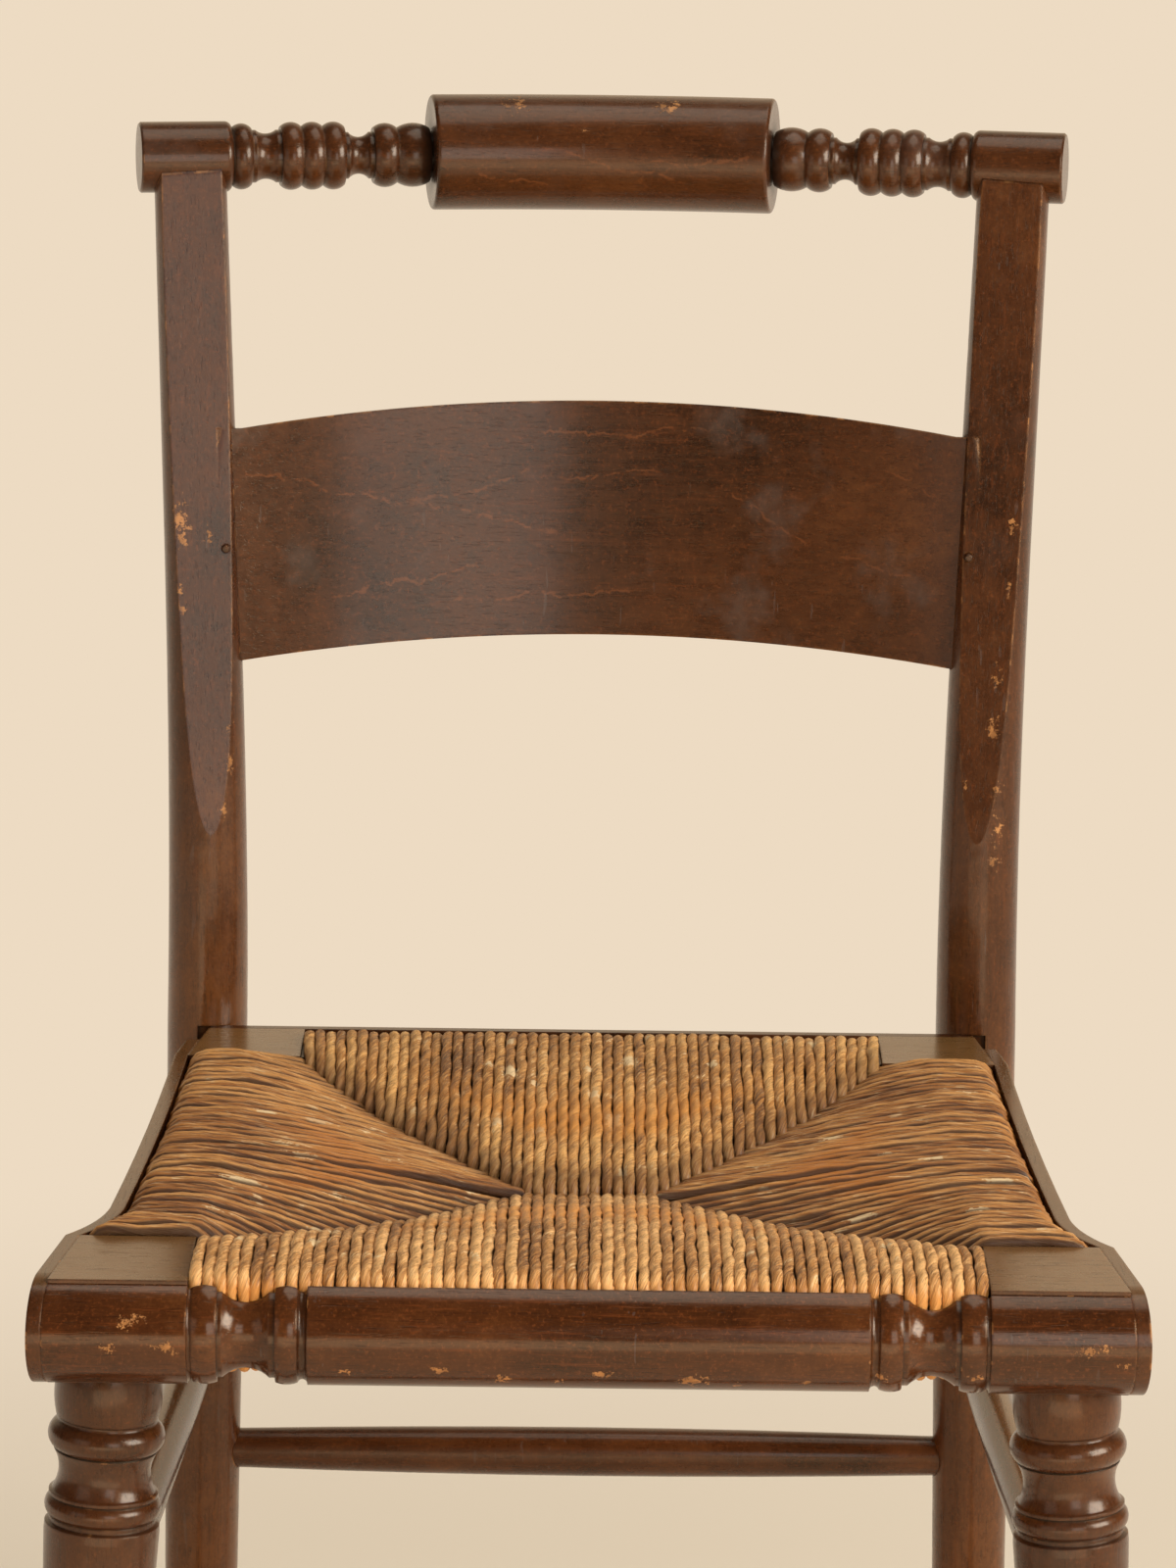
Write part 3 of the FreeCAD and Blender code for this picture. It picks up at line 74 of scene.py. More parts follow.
# node maths
class Wire:
    # an output socket that can be used in sums
    def __init__(self, bench, socket):
        self.bench = bench
        self.socket = socket

    def sum(self, operation, *values, clamp=False):
        settings = {"operation": operation, "use_clamp": clamp}
        return self.bench.make("ShaderNodeMath", settings, dict(enumerate(values)))

    def __add__(self, other):
        return self.sum("ADD", self, other)

    def __radd__(self, other):
        return self.sum("ADD", other, self)

    def __sub__(self, other):
        return self.sum("SUBTRACT", self, other)

    def __rsub__(self, other):
        return self.sum("SUBTRACT", other, self)

    def __mul__(self, other):
        return self.sum("MULTIPLY", self, other)

    def __truediv__(self, other):
        return self.sum("DIVIDE", self, other)

    def __abs__(self):
        return self.sum("ABSOLUTE", self)

    def clamped(self):
        return self.sum("ADD", self, 0.0, clamp=True)

    def cosine(self):
        return self.sum("COSINE", self)

    def atLeast(self, other):
        return self.sum("MAXIMUM", self, other)

    def ramp(self, low, high, start=0.0, end=1.0):
        # smooth change from start to end while the value goes from low to high
        return self.bench.make(
            "ShaderNodeMapRange", {"interpolation_type": "SMOOTHSTEP"},
            {0: self, 1: low, 2: high, 3: start, 4: end})


class Bench:
    # builds one node tree
    def __init__(self, tree):
        self.tree = tree
        tree.nodes.clear()

    def make(self, kind, settings=None, values=None, out=0):
        node = self.tree.nodes.new(kind)
        for name, value in (settings or {}).items():
            setattr(node, name, value)
        for name, value in (values or {}).items():
            if value is None:
                continue
            if isinstance(value, Wire):
                self.tree.links.new(value.socket, node.inputs[name])
            else:
                node.inputs[name].default_value = value
        return Wire(self, node.outputs[out]) if len(node.outputs) else node

    def coordinates(self, kind):
        return self.make("ShaderNodeTexCoord", None, None, out=kind)

    def axis(self, vector, number):
        return self.make("ShaderNodeSeparateXYZ", None, {0: vector}, out=number)

    def mix(self, share, a, b):
        settings = {"data_type": "RGBA"}
        return self.make("ShaderNodeMix", settings, {0: share, 6: a, 7: b}, out=2)

    def noise(self, vector, scale, detail=3.0, rough=0.5, warp=0.0):
        return self.make("ShaderNodeTexNoise", None, {
            "Vector": vector, "Scale": scale, "Detail": detail, "Roughness": rough,
            "Distortion": warp})

    def stretched(self, vector, scale, move=(0, 0, 0), turn=(0, 0, 0)):
        return self.make("ShaderNodeMapping", None, {
            "Vector": vector, "Location": move, "Rotation": turn, "Scale": scale})


def colour(red, green, blue):
    return (red, green, blue, 1.0)


def newMaterial(name):
    material = bpy.data.materials.new(name)
    material.use_nodes = True
    return material, Bench(material.node_tree)


def finishMaterial(bench, base, rough, height, strength, depth, fixed, rounded=None):
    # rounded is a softened normal for the bumps to start from
    bump = bench.make("ShaderNodeBump", None, {
        "Height": height, "Strength": strength, "Distance": depth, "Normal": rounded})
    values = {"Base Color": base, "Roughness": rough, "Normal": bump}
    values.update(fixed)
    surface = bench.make("ShaderNodeBsdfPrincipled", None, values)
    bench.make("ShaderNodeOutputMaterial", None, {"Surface": surface})


# stained wood: dark reddish brown under satin lacquer, worn through to ochre at the edges
wood = {
    "deep": colour(0.018, 0.0058, 0.0022),
    "middle": colour(0.068, 0.0200, 0.0055),
    "warm": colour(0.150, 0.0500, 0.0130),
    "red": colour(0.170, 0.0440, 0.0110),
    "line": colour(0.190, 0.0560, 0.0160),
    "haze": colour(0.110, 0.0860, 0.0760),
    # painted sheen for faces that look up
    "paintedTopSheen": colour(0.330, 0.1750, 0.0560),
    "bare": colour(0.480, 0.2050, 0.0620),
    "ochre": colour(0.270, 0.1080, 0.0300),
    # near black for the hollows: dirt and painted shade
    "hollowShadeAndDirt": colour(0.011, 0.0055, 0.0035),
    "rough": 0.25,
    "edge": 0.0015,
}
grainScales = {"x": (0.07, 1, 1), "y": (1, 0.07, 1), "z": (1, 1, 0.07)}
# chips are narrow across the grain, and as deep in y as the edge that they sit on
chipScales = {"x": (0.8, 0.3, 1.6), "z": (1.7, 0.3, 0.8)}


def jaggedLine(bench, where, start, end):
    # a thin broken line in the figure, from one (x, z) to another in mm
    x = bench.axis(where, 0) * 1000
    z = bench.axis(where, 2) * 1000
    share = (x - start[0]) / (end[0] - start[0])
    sway = bench.noise(where, 45, 2) * 14 + bench.noise(where, 260, 3, 0.7) * 5 - 9.5
    off = abs(z - (share * (end[1] - start[1]) + start[1]) - sway)
    inside = share.ramp(0.0, 0.08) * share.ramp(0.92, 1.0, 1, 0)
    broken = bench.noise(where, 170, 3, 0.6).ramp(0.40, 0.52)
    return off.ramp(0.25, 0.95, 1, 0) * inside * broken


def edgesAndHollows(bench):
    # edges are where a rounded normal leaves the true one, kept off the hollows
    rounded = bench.make("ShaderNodeBevel", {"samples": 6}, {"Radius": wood["edge"]})
    flat = bench.make("ShaderNodeNewGeometry", None, None, out="Normal")
    same = bench.make("ShaderNodeVectorMath", {"operation": "DOT_PRODUCT"},
                      {0: rounded, 1: flat}, out="Value")
    openness = bench.make("ShaderNodeAmbientOcclusion", {"samples": 6, "only_local": True},
                          {"Distance": 0.009}, out="AO")
    edge = (1 - same).ramp(0.010, 0.10) * openness.ramp(0.45, 0.75)
    # the last value marks the hollows, where dirt and painted shade go
    return rounded, edge, 1 - openness.ramp(0.40, 0.92)


def withChips(bench, where, moved, grain, chips, gone):
    # adds ragged chips to the places where the stain is gone
    ragged = bench.noise(moved, 330, 5, 0.75)
    squeeze = Vector(chipScales[grain])
    squeezed = bench.stretched(where, squeeze)
    for x, y, z, radius in chips:
        away = bench.make("ShaderNodeVectorMath", {"operation": "DISTANCE"},
                          {0: squeezed, 1: place(x, y, z) * squeeze}, out="Value")
        share = away * (1000 / radius) + ragged * 7.0 - 3.3
        gone = gone.atLeast(share.ramp(0.62, 0.86, 1, 0))
    return gone


def fineScratches(bench, moved):
    # thin scratches in three directions, in some places only
    scratch = 0.0
    for turn in ((0.5, 0.9, 0.3), (0.2, -0.6, 1.1), (1.3, 0.2, -0.4)):
        slant = bench.stretched(moved, (1, 1, 0.05), turn=turn)
        scratch = scratch + bench.noise(slant, 380, 1, 0.4).ramp(0.740, 0.757)
    return (scratch * bench.noise(moved, 26, 2).ramp(0.50, 0.62)).clamped()


def stainedWood(name, grain, seed, tone=0.5, wear=0.5, hollowShadeAndGrime=0.5, gloss=0.0, haze=0.0,
                red=0.5, topSheen=0.0, paler=None, chips=(), lines=()):
    # chips are places in the drawing with their radius, all in mm; paler gives two heights in
    # m, between which the stain gets thinner downwards, and how much thinner; topSheen is how
    # much faces that look up get a painted amber sheen, standing for the pale room they reflect
    # how dark the hollows get stands for dirt and painted shade together
    material, bench = newMaterial(name)
    where = bench.coordinates("Object")
    moved = bench.stretched(where, (1, 1, 1), move=(seed * 0.37, seed * 0.61, seed * 0.23))
    along = bench.stretched(moved, grainScales[grain])
    broad = bench.noise(moved, 9, 3, 0.55)
    streak = bench.noise(along, 330, 4, 0.65, 0.2)
    fine = bench.noise(along, 1100, 2, 0.6)
    speckle = bench.noise(moved, 620, 3, 0.7)
    mottle = bench.noise(moved, 80, 5, 0.7)

    shade = broad * 0.75 + streak * 0.26 + mottle * 0.50 + speckle * 0.34 + (tone - 0.92)
    if paler:
        high, low, more = paler
        height = bench.axis(where, 2)
        shade = shade + height.ramp(low, high, more, 0.0)
    shade = shade.clamped()
    base = bench.mix(shade.ramp(0.16, 0.58), wood["deep"], wood["middle"])
    base = bench.mix(shade.ramp(0.50, 0.92), base, wood["warm"])
    base = bench.mix(bench.noise(along, 460, 3, 0.7).ramp(0.54, 0.72) * (red * 0.45), base,
                     wood["red"])
    # painted sheen: faces that look up are lightened to amber, as if reflecting the pale room
    if topSheen:
        facing = bench.coordinates("Normal")
        upward = bench.axis(facing, 2)
        base = bench.mix(upward.ramp(0.80, 0.97) * topSheen, base, wood["paintedTopSheen"])

    # pores are short dark ticks along the grain
    pores = fine.ramp(0.58, 0.70)
    base = bench.mix(pores * 0.50, base, wood["deep"])
    base = bench.mix(speckle.ramp(0.56, 0.68) * (0.20 + red * 0.30), base, wood["red"])
    for start, end in lines:
        base = bench.mix(jaggedLine(bench, where, start, end) * 0.5, base, wood["line"])

    # dirt and painted shade darken the hollows, and stain worn thin or gone on the edges and
    # chips
    rounded, edge, hollow = edgesAndHollows(bench)
    base = bench.mix(hollow * (0.62 + hollowShadeAndGrime * 0.36), base, wood["hollowShadeAndDirt"])
    rub = bench.noise(moved, 85, 5, 0.65)
    rubbed = edge * rub.ramp(0.62 - 0.24 * wear, 0.76 - 0.24 * wear)
    base = bench.mix(rubbed * (0.35 + wear * 0.6), base, wood["ochre"])
    gone = edge * bench.noise(moved, 150, 3).ramp(0.68 - 0.12 * wear, 0.72 - 0.12 * wear)
    if chips:
        gone = withChips(bench, where, moved, grain, chips, gone)
    gone = gone.clamped()
    base = bench.mix(gone, base, bench.mix(mottle.ramp(0.42, 0.60), wood["ochre"],
                                           wood["bare"]))

    # faint pale scratches, and dull hazy patches
    scratch = fineScratches(bench, moved)
    base = bench.mix(scratch * 0.28, base, wood["haze"])
    dull = bench.noise(moved, 24, 5, 0.62).ramp(0.53, 0.72) * haze
    base = bench.mix(dull * 0.35, base, wood["haze"])

    rough = (wood["rough"] - gloss + streak * 0.10 + mottle * 0.12 + gone * 0.25
             + hollow * 0.15 + dull * 0.12 - 0.08)
    height = (streak * 0.22 + fine * 0.25 + mottle * 0.4 - pores * 0.3 - gone * 0.9
              - scratch * 0.3)
    finishMaterial(bench, base, rough.clamped(), height, 0.30, 0.0006, {
        "Coat Weight": 0.32, "Coat Roughness": 0.14, "IOR": 1.46,
        "Specular IOR Level": 0.48, "Specular Tint": colour(1.0, 0.78, 0.54)}, rounded)
    return material


def coat(material, *names):
    for name in names:
        data = nodes[name].data
        data.materials.clear()
        data.materials.append(material)


def dressWood():
    # every wooden piece has a stain of its own, its grain along the piece
    coat(stainedWood("crestStain", "x", 1, 0.50, wear=0.45, haze=0.5,
                     chips=[(-40, 505, 862, 5), (30, 500, 862, 4), (-8, 484, 852, 1.5)],
                     lines=[((-30, 845), (40, 828)), ((-60, 833), (-20, 824)),
                            ((20, 838), (70, 842))]), "crest_rail")
    coat(stainedWood("slatStain", "x", 2, 0.46, wear=0.75, haze=0.9, red=0.6,
                     lines=[((-166, 700), (-82, 678)), ((-90, 681), (-15, 668)),
                            ((-85, 680), (-30, 694)), ((-20, 690), (30, 696)),
                            ((-125, 640), (-50, 652)), ((60, 690), (100, 662)),
                            ((110, 660), (150, 652)), ((130, 700), (158, 688)),
                            ((-30, 712), (60, 716)), ((-70, 636), (20, 640))]), "back_slat")
    leftChips = [(-191, 444, 679, 5), (-189, 444, 670, 4.5), (-178, 444, 670, 3),
                 (-191, 440, 645, 2.5), (-190, 440, 636, 3), (-168, 436, 583, 3),
                 (-168, 430, 566, 3.4), (-170, 425, 545, 3)]
    coat(stainedWood("leftPostStain", "z", 3, 0.50, wear=0.75, haze=0.3, red=0.7,
                     paler=(0.60, 0.50, 0.17), chips=leftChips), "back_post_left")
    rightChips = [(184, 436, 610, 3.5), (182, 433, 587, 4.5), (184, 430, 559, 4),
                  (185, 428, 541, 5), (184, 426, 527, 4), (190, 446, 679, 3),
                  (189, 442, 650, 2.5), (170, 424, 560, 2)]
    coat(stainedWood("rightPostStain", "z", 4, 0.50, wear=0.75, haze=0.2, red=0.7,
                     paler=(0.58, 0.48, 0.16), chips=rightChips), "back_post_right")
    rollChips = [(-60, 1, 412, 3), (-35, 2, 408, 3.4), (-12, 2, 407, 2.4), (5, 1, 411, 3),
                 (42, 2, 408, 5), (60, 2, 406, 2), (-98, 1, 411, 2), (-170, 0, 421, 4),
                 (-183, 0, 431, 4), (-193, 1, 421, 3), (118, 1, 411, 3), (156, 1, 411, 2.4),
                 (201, 1, 424, 3.6), (208, 0, 425, 2.4), (217, 1, 418, 2.4), (88, 2, 408, 2.2)]
    coat(stainedWood("rollStain", "x", 5, 0.50, wear=0.40, gloss=0.12, red=0.9,
                     chips=rollChips), "front_roll")
    coat(stainedWood("frontRailStain", "x", 6, 0.50, wear=0.25, topSheen=0.35), "front_rail")
    coat(stainedWood("backRailStain", "x", 7, 0.50, wear=0.25, topSheen=0.40), "back_rail")
    coat(stainedWood("sideRailStain", "y", 8, 0.45, wear=0.1),
         "side_rail_right", "side_rail_left")
    coat(stainedWood("stripStain", "y", 9, 0.50, wear=0.55, red=0.5, topSheen=0.2),
         "side_strip_right", "side_strip_left")
    coat(stainedWood("backStripStain", "x", 10, 0.40, wear=0.3), "back_strip")
    coat(stainedWood("legStain", "z", 11, 0.50, wear=0.30, hollowShadeAndGrime=0.85, haze=0.4, red=0.2),
         "front_leg_right", "front_leg_left")
    coat(stainedWood("sideStretcherStain", "y", 12, 0.52, wear=0.3, topSheen=0.35),
         "upper_stretcher_right", "upper_stretcher_left",
         "lower_stretcher_right", "lower_stretcher_left")
    coat(stainedWood("crossStretcherStain", "x", 13, 0.50, wear=0.3),
         "front_stretcher", "rear_stretcher")
    coat(stainedWood("pinStain", "y", 14, 0.35, wear=0.2), "slat_pins")
    print("wood stained")


dressWood()


# darkened steel for the screws and nails
def dullSteel():
    material, bench = newMaterial("dullSteel")
    where = bench.coordinates("Object")
    spots = bench.noise(where, 900, 4, 0.65)
    base = bench.mix(spots.ramp(0.42, 0.62), colour(0.09, 0.08, 0.07), colour(0.16, 0.07, 0.03))
    finishMaterial(bench, base, 0.38 + spots * 0.3, spots, 0.4, 0.0002, {"Metallic": 0.85})
    return material


coat(dullSteel(), "post_screws", "strip_nails")


# rush seat: every strand is wound over its rail, down the seam and back underneath; lengths
# are in the drawing's mm, and those of segment, wobble and end in m
rush = {
    "thick": 5.0,
    "top": 448.6,
    "under": 404.6,
    "nose": 9.0,
    "centreUnder": 413.0,
    "seamStray": 1.2,
    "cornerGap": 0.5,
    "segment": 0.0030,
    "wobble": 0.0006,
    "lobes": 2,
    "end": 0.010,
}
# edge and inset say where a panel's outer side is, railDeep and the rail pair where its rail
# ends inwards, lean how far the outer strands lean to the middle; over, raised, under and the
# sunk pair lap the back strands over the side ones
frontPanel = {"strands": 66, "edge": 14.5, "railDeep": 47.5, "lean": 2.5}
backPanel = {"strands": 54, "edge": 405.0, "railDeep": 36.5, "lean": 3.0,
             "over": 3.2, "raised": 1.6}
sidePanel = {"strands": 48, "inset": 1.1, "railFront": 163.0, "railBack": 151.5,
             "under": 1.8, "sunkFront": 3.0, "sunkBack": 3.2, "bow": 1.2}
# how thick each panel's strands are, how tightly they are twisted and how deep the plies show
frontTwist = {"Thickness": 0.0054, "Twist": 0.034, "Lobe depth": 0.045}
sideTwist = {"Thickness": 0.0060, "Twist": 0.110, "Lobe depth": 0.030}
# the seat in plan, in the drawing's mm: half widths at the blocks and the middle of the seams;
# frontSeam and backSeam are a seam's lowest height, its rise at the block and the curve's power
seat = {
    "frontCorner": (162.0, 76.5),
    "backCorner": (132.0, 363.5),
    "seamHalf": 28.0,
    "seamY": 205.0,
    "frontSeam": (429.0, 17.0, 2.3),
    "backSeam": (432.3, 12.4, 2.4),
    "sideLine": [(76.5, 210.0), (96.8, 199.4), (117.0, 194.5), (240.0, 187.2), (363.5, 183.0)],
}


def between(value, pairs):
    # straight lines through a list of (value, result)
    for (a, low), (b, high) in zip(pairs, pairs[1:]):
        if value <= b:
            return low + (high - low) * max(0.0, (value - a) / (b - a))
    return pairs[-1][1]


def seamHeight(share, front):
    # the seam sinks fast beside a block and is nearly level in the middle
    low, rise, power = seat["frontSeam"] if front else seat["backSeam"]
    return low + rise * (1 - share) ** power


def windStrand(reach, seamZ, railFar, lift, bow=1.5):
    # one strand as (distance in from the outer face, height), from the seam round to the seam;
    # a bow of one is a straight slope up from the seam
    half = rush["thick"] / 2
    crown = rush["top"] - half + lift
    start = seamZ - half
    path = [(reach + 1.6, start - 10), (reach - 0.1, start - 4.6), (reach - 1.3, start - 1.7),
            (reach - 3.4, start)]
    flat = min(railFar, reach - 8)
    steps = max(2, int((reach - flat) / 12))
    for step in range(1, steps + 1):
        share = step / steps
        distance = (reach - 3.4) + (flat - reach + 3.4) * share
        path.append((distance, start + (crown - start) * (1 - (1 - share) ** bow)))
    middle = (flat + rush["nose"]) / 2
    path.append((middle, crown + 0.35))
    bend = rush["nose"] - half
    for angle in range(90, 181, 18):
        turn = math.radians(angle)
        path.append((rush["nose"] + bend * math.cos(turn), crown - bend + bend * math.sin(turn)))
    floor = rush["under"] + half
    for angle in range(180, 271, 18):
        turn = math.radians(angle)
        path.append((rush["nose"] + bend * math.cos(turn), floor + bend + bend * math.sin(turn)))
    for share in (0.33, 0.66, 0.94):
        distance = rush["nose"] + (reach - rush["nose"]) * share
        rise = (rush["centreUnder"] - rush["under"]) * max(0.0, distance - railFar) / 130
        path.append((distance, floor + rise))
    path.append((reach + 0.6, path[-1][1] + 6))
    return path


def frontPaths():
    cornerX, cornerY = seat["frontCorner"]
    edge, count, stray = frontPanel["edge"], frontPanel["strands"], rush["seamStray"]
    pitch = 2 * (cornerX - rush["cornerGap"]) / count
    for number in range(count):
        x = -cornerX + rush["cornerGap"] + pitch * (number + 0.5)
        share = min(1.0, (cornerX - abs(x)) / (cornerX - seat["seamHalf"]))
        seamY = cornerY + (seat["seamY"] - cornerY) * share + pick.uniform(-stray, stray)
        lean = -math.copysign(frontPanel["lean"], x) * (abs(x) / cornerX) ** 3
        yield [(x + lean * min(1.0, max(0.0, away - 40) / 80), edge + away, z)
               for away, z in windStrand(seamY - edge, seamHeight(share, True),
                                         frontPanel["railDeep"], pick.uniform(-0.5, 0.3))]


def backPaths():
    # the back strands end over the side ones
    cornerX, cornerY = seat["backCorner"]
    edge, count, stray = backPanel["edge"], backPanel["strands"], rush["seamStray"]
    pitch = 2 * (cornerX - rush["cornerGap"]) / count
    for number in range(count):
        x = -cornerX + rush["cornerGap"] + pitch * (number + 0.5)
        share = min(1.0, (cornerX - abs(x)) / (cornerX - seat["seamHalf"]))
        seamY = cornerY + (seat["seamY"] + 2 - cornerY) * share + pick.uniform(-stray, stray)
        lean = -math.copysign(backPanel["lean"], x) * (abs(x) / cornerX) ** 3
        seamZ = seamHeight(share, False) + backPanel["raised"]
        yield [(x + lean * min(1.0, max(0.0, away - 12) / 50), edge - away, z)
               for away, z in windStrand(edge - seamY + backPanel["over"], seamZ,
                                         backPanel["railDeep"], pick.uniform(-0.6, 0.3))]


def sidePaths(side):
    frontX, frontY = seat["frontCorner"]
    backX, backY = seat["backCorner"]
    count = sidePanel["strands"]
    pitch = (backY - frontY - 0.6) / count
    for number in range(count):
        y = frontY + 0.3 + pitch * (number + 0.5)
        if y < seat["seamY"]:
            share = (y - frontY) / (seat["seamY"] - frontY)
            seamX = frontX + (seat["seamHalf"] - frontX) * share
            seamZ = seamHeight(share, True) - sidePanel["sunkFront"] * min(1.0, 3 * share)
        else:
            share = (backY - y) / (backY - seat["seamY"])
            seamX = backX + (seat["seamHalf"] - backX) * share
            seamZ = seamHeight(share, False) - sidePanel["sunkBack"] * min(1.0, 3 * share)
        outer = between(y, seat["sideLine"]) - sidePanel["inset"]
        railFar = between(y, [(frontY, sidePanel["railFront"]), (backY, sidePanel["railBack"])])
        yield [(side * (outer - away), y, z)
               for away, z in windStrand(outer - seamX + sidePanel["under"], seamZ,
                                         outer - railFar, pick.uniform(-0.9, 0.4),
                                         sidePanel["bow"])]


def guideCurve(name, paths):
    curve = bpy.data.curves.new(name, "CURVE")
    curve.dimensions = "3D"
    for path in paths:
        spline = curve.splines.new("POLY")
        spline.points.add(len(path) - 1)
        for corner, spot in zip(spline.points, path):
            corner.co = (*place(*spot), 1)
    guide = bpy.data.objects.new(name, curve)
    bpy.context.scene.collection.objects.link(guide)
    return guide


def strandTree():
    # turns guide lines into twisted strands
    tree = bpy.data.node_groups.new("twistRush", "GeometryNodeTree")
    bench = Bench(tree)
    tree.interface.new_socket("Geometry", in_out="INPUT", socket_type="NodeSocketGeometry")
    for name, kind in (("Segment", "Float"), ("Thickness", "Float"), ("Twist", "Float"),
                       ("Wobble", "Float"), ("Lobe depth", "Float"), ("Seed", "Int"),
                       ("Material", "Material")):
        tree.interface.new_socket(name, in_out="INPUT", socket_type="NodeSocket" + kind)
    tree.interface.new_socket("Geometry", in_out="OUTPUT", socket_type="NodeSocketGeometry")
    given = tree.nodes.new("NodeGroupInput")

    def asked(name):
        return Wire(bench, given.outputs[name])

    smooth = bench.make("GeometryNodeResampleCurve", {"mode": "LENGTH"}, {
        "Curve": asked("Geometry"), "Length": asked("Segment")})
    number = bench.make("GeometryNodeCurveOfPoint", None, None, out="Curve Index")
    chance = bench.make("FunctionNodeRandomValue", {"data_type": "FLOAT"}, {
        "ID": number, "Seed": asked("Seed")}, out=1)
    travelled = bench.make("GeometryNodeSplineParameter", None, None, out="Length")
    spot = bench.make("GeometryNodeInputPosition")
    shifted = bench.make("ShaderNodeCombineXYZ", None, {0: chance * 40.0, 1: chance * 17.0})
    spot = bench.make("ShaderNodeVectorMath", {"operation": "ADD"}, {0: spot, 1: shifted})
    drift = bench.make("ShaderNodeTexNoise", None, {
        "Vector": spot, "Scale": 55.0, "Detail": 1.0}, out="Color")
    drift = bench.make("ShaderNodeVectorMath", {"operation": "SUBTRACT"}, {
        0: drift, 1: (0.5, 0.5, 0.5)})
    drift = bench.make("ShaderNodeVectorMath", {"operation": "SCALE"}, {
        0: drift, "Scale": asked("Wobble") * 4.0})
    smooth = bench.make("GeometryNodeSetPosition", None, {"Geometry": smooth, "Offset": drift})
    swell = bench.make("ShaderNodeTexNoise", None, {
        "Vector": spot, "Scale": 48.0, "Detail": 2.0})
    tip = travelled.ramp(0.002, rush["end"], 0.72, 1.0)
    radius = asked("Thickness") * 0.5 * tip * (0.76 + swell * 0.42 + chance * 0.10)
    smooth = bench.make("GeometryNodeSetCurveRadius", None, {"Curve": smooth, "Radius": radius})
    widths = bench.make("GeometryNodeInputRadius")
    tilt = travelled / asked("Twist") * (2 * math.pi) * (0.85 + chance * 0.3) + chance * 30.0
    smooth = bench.make("GeometryNodeSetCurveTilt", None, {"Curve": smooth, "Tilt": tilt})
    for name, value in (("travelled", travelled), ("chance", chance)):
        smooth = bench.make("GeometryNodeStoreNamedAttribute", {
            "data_type": "FLOAT", "domain": "POINT"}, {
                "Geometry": smooth, "Name": name, "Value": value})

    ring = bench.make("GeometryNodeCurvePrimitiveCircle", {"mode": "RADIUS"}, {
        "Resolution": 12, "Radius": 1.0})
    about = bench.make("GeometryNodeInputPosition")
    ring = bench.make("GeometryNodeStoreNamedAttribute", {
        "data_type": "FLOAT_VECTOR", "domain": "POINT"}, {
            "Geometry": ring, "Name": "about", "Value": about})
    turn = bench.make("GeometryNodeSplineParameter", None, None, out="Factor")
    lobe = (turn * (2 * math.pi * rush["lobes"])).cosine()
    ring = bench.make("GeometryNodeStoreNamedAttribute", {
        "data_type": "FLOAT", "domain": "POINT"}, {
            "Geometry": ring, "Name": "ridge", "Value": lobe})
    lobed = bench.make("ShaderNodeVectorMath", {"operation": "SCALE"}, {
        0: about, "Scale": 1 + lobe * asked("Lobe depth")})
    ring = bench.make("GeometryNodeSetPosition", None, {"Geometry": ring, "Position": lobed})
    strands = bench.make("GeometryNodeCurveToMesh", None, {
        "Curve": smooth, "Profile Curve": ring, "Scale": widths, "Fill Caps": True})
    strands = bench.make("GeometryNodeRealizeInstances", None, {"Geometry": strands})
    strands = bench.make("GeometryNodeSetShadeSmooth", None, {"Geometry": strands})
    strands = bench.make("GeometryNodeSetMaterial", None, {
        "Geometry": strands, "Material": asked("Material")})
    bench.make("NodeGroupOutput", None, {"Geometry": strands})
    return tree


# cream patches where the varnish has flaked off: (x, y, radius) in the drawing, mm
flakes = {
    "front": [(-106, 92, 3), (-113, 63, 3), (65, 50, 2.4), (68, 78, 2), (122, 67, 3),
              (-144, 69, 2.5), (-60, 108, 2)],
    "back": [(-36, 334, 4.6), (-37, 379, 2.4), (-25, 321, 2.4), (1, 306, 3), (17, 353, 4),
             (10, 274, 4.6), (-41, 276, 3.6), (-23, 261, 2.6), (14, 216, 2.6), (-1, 339, 2),
             (-58, 311, 2), (91, 184, 2.6), (-46, 345, 2), (25, 391, 2), (55, 350, 2.4),
             (62, 419, 2.4), (88, 385, 2), (101, 386, 2.6)],
    "side": [(-120, 265, 3), (-122, 202, 3.5), (-132, 214, 3), (-146, 156, 4), (-157, 111, 3),
             (-86, 219, 3), (-98, 266, 2.4), (-107, 165, 3), (-143, 264, 2.4), (-112, 125, 3),
             (163, 118, 3), (146, 199, 3), (115, 145, 3), (141, 261, 2.4), (106, 259, 3),
             (167, 302, 3), (174, 162, 3), (128, 213, 2.4)],
}


# how each panel's strands look: across is the axis that they lie side by side on, the tint
# scales the stain's red, green and blue and darkens the side panels as painted shade, run is
# how fast the fibres change along a strand, the seam value is how much painted shade a strand
# gets at its end, and the flank pair is where painted shade on its flanks starts
rushLooks = {
    "front": {"across": 0, "tintAndShade": (1.06, 1.06, 1.16), "seam": 0.25, "run": 30,
              "shadedFlanks": (0.80, 0.98)},
    "back": {"across": 0, "tintAndShade": (0.96, 0.94, 0.90), "seam": 0.8, "run": 30,
             "shadedFlanks": (0.80, 0.98)},
    # the side panels' low scale is painted shade
    "side": {"across": 1, "tintAndShade": (0.74, 0.62, 0.50), "seam": 0.3, "run": 12,
             "shadedFlanks": (0.36, 0.84)},
}


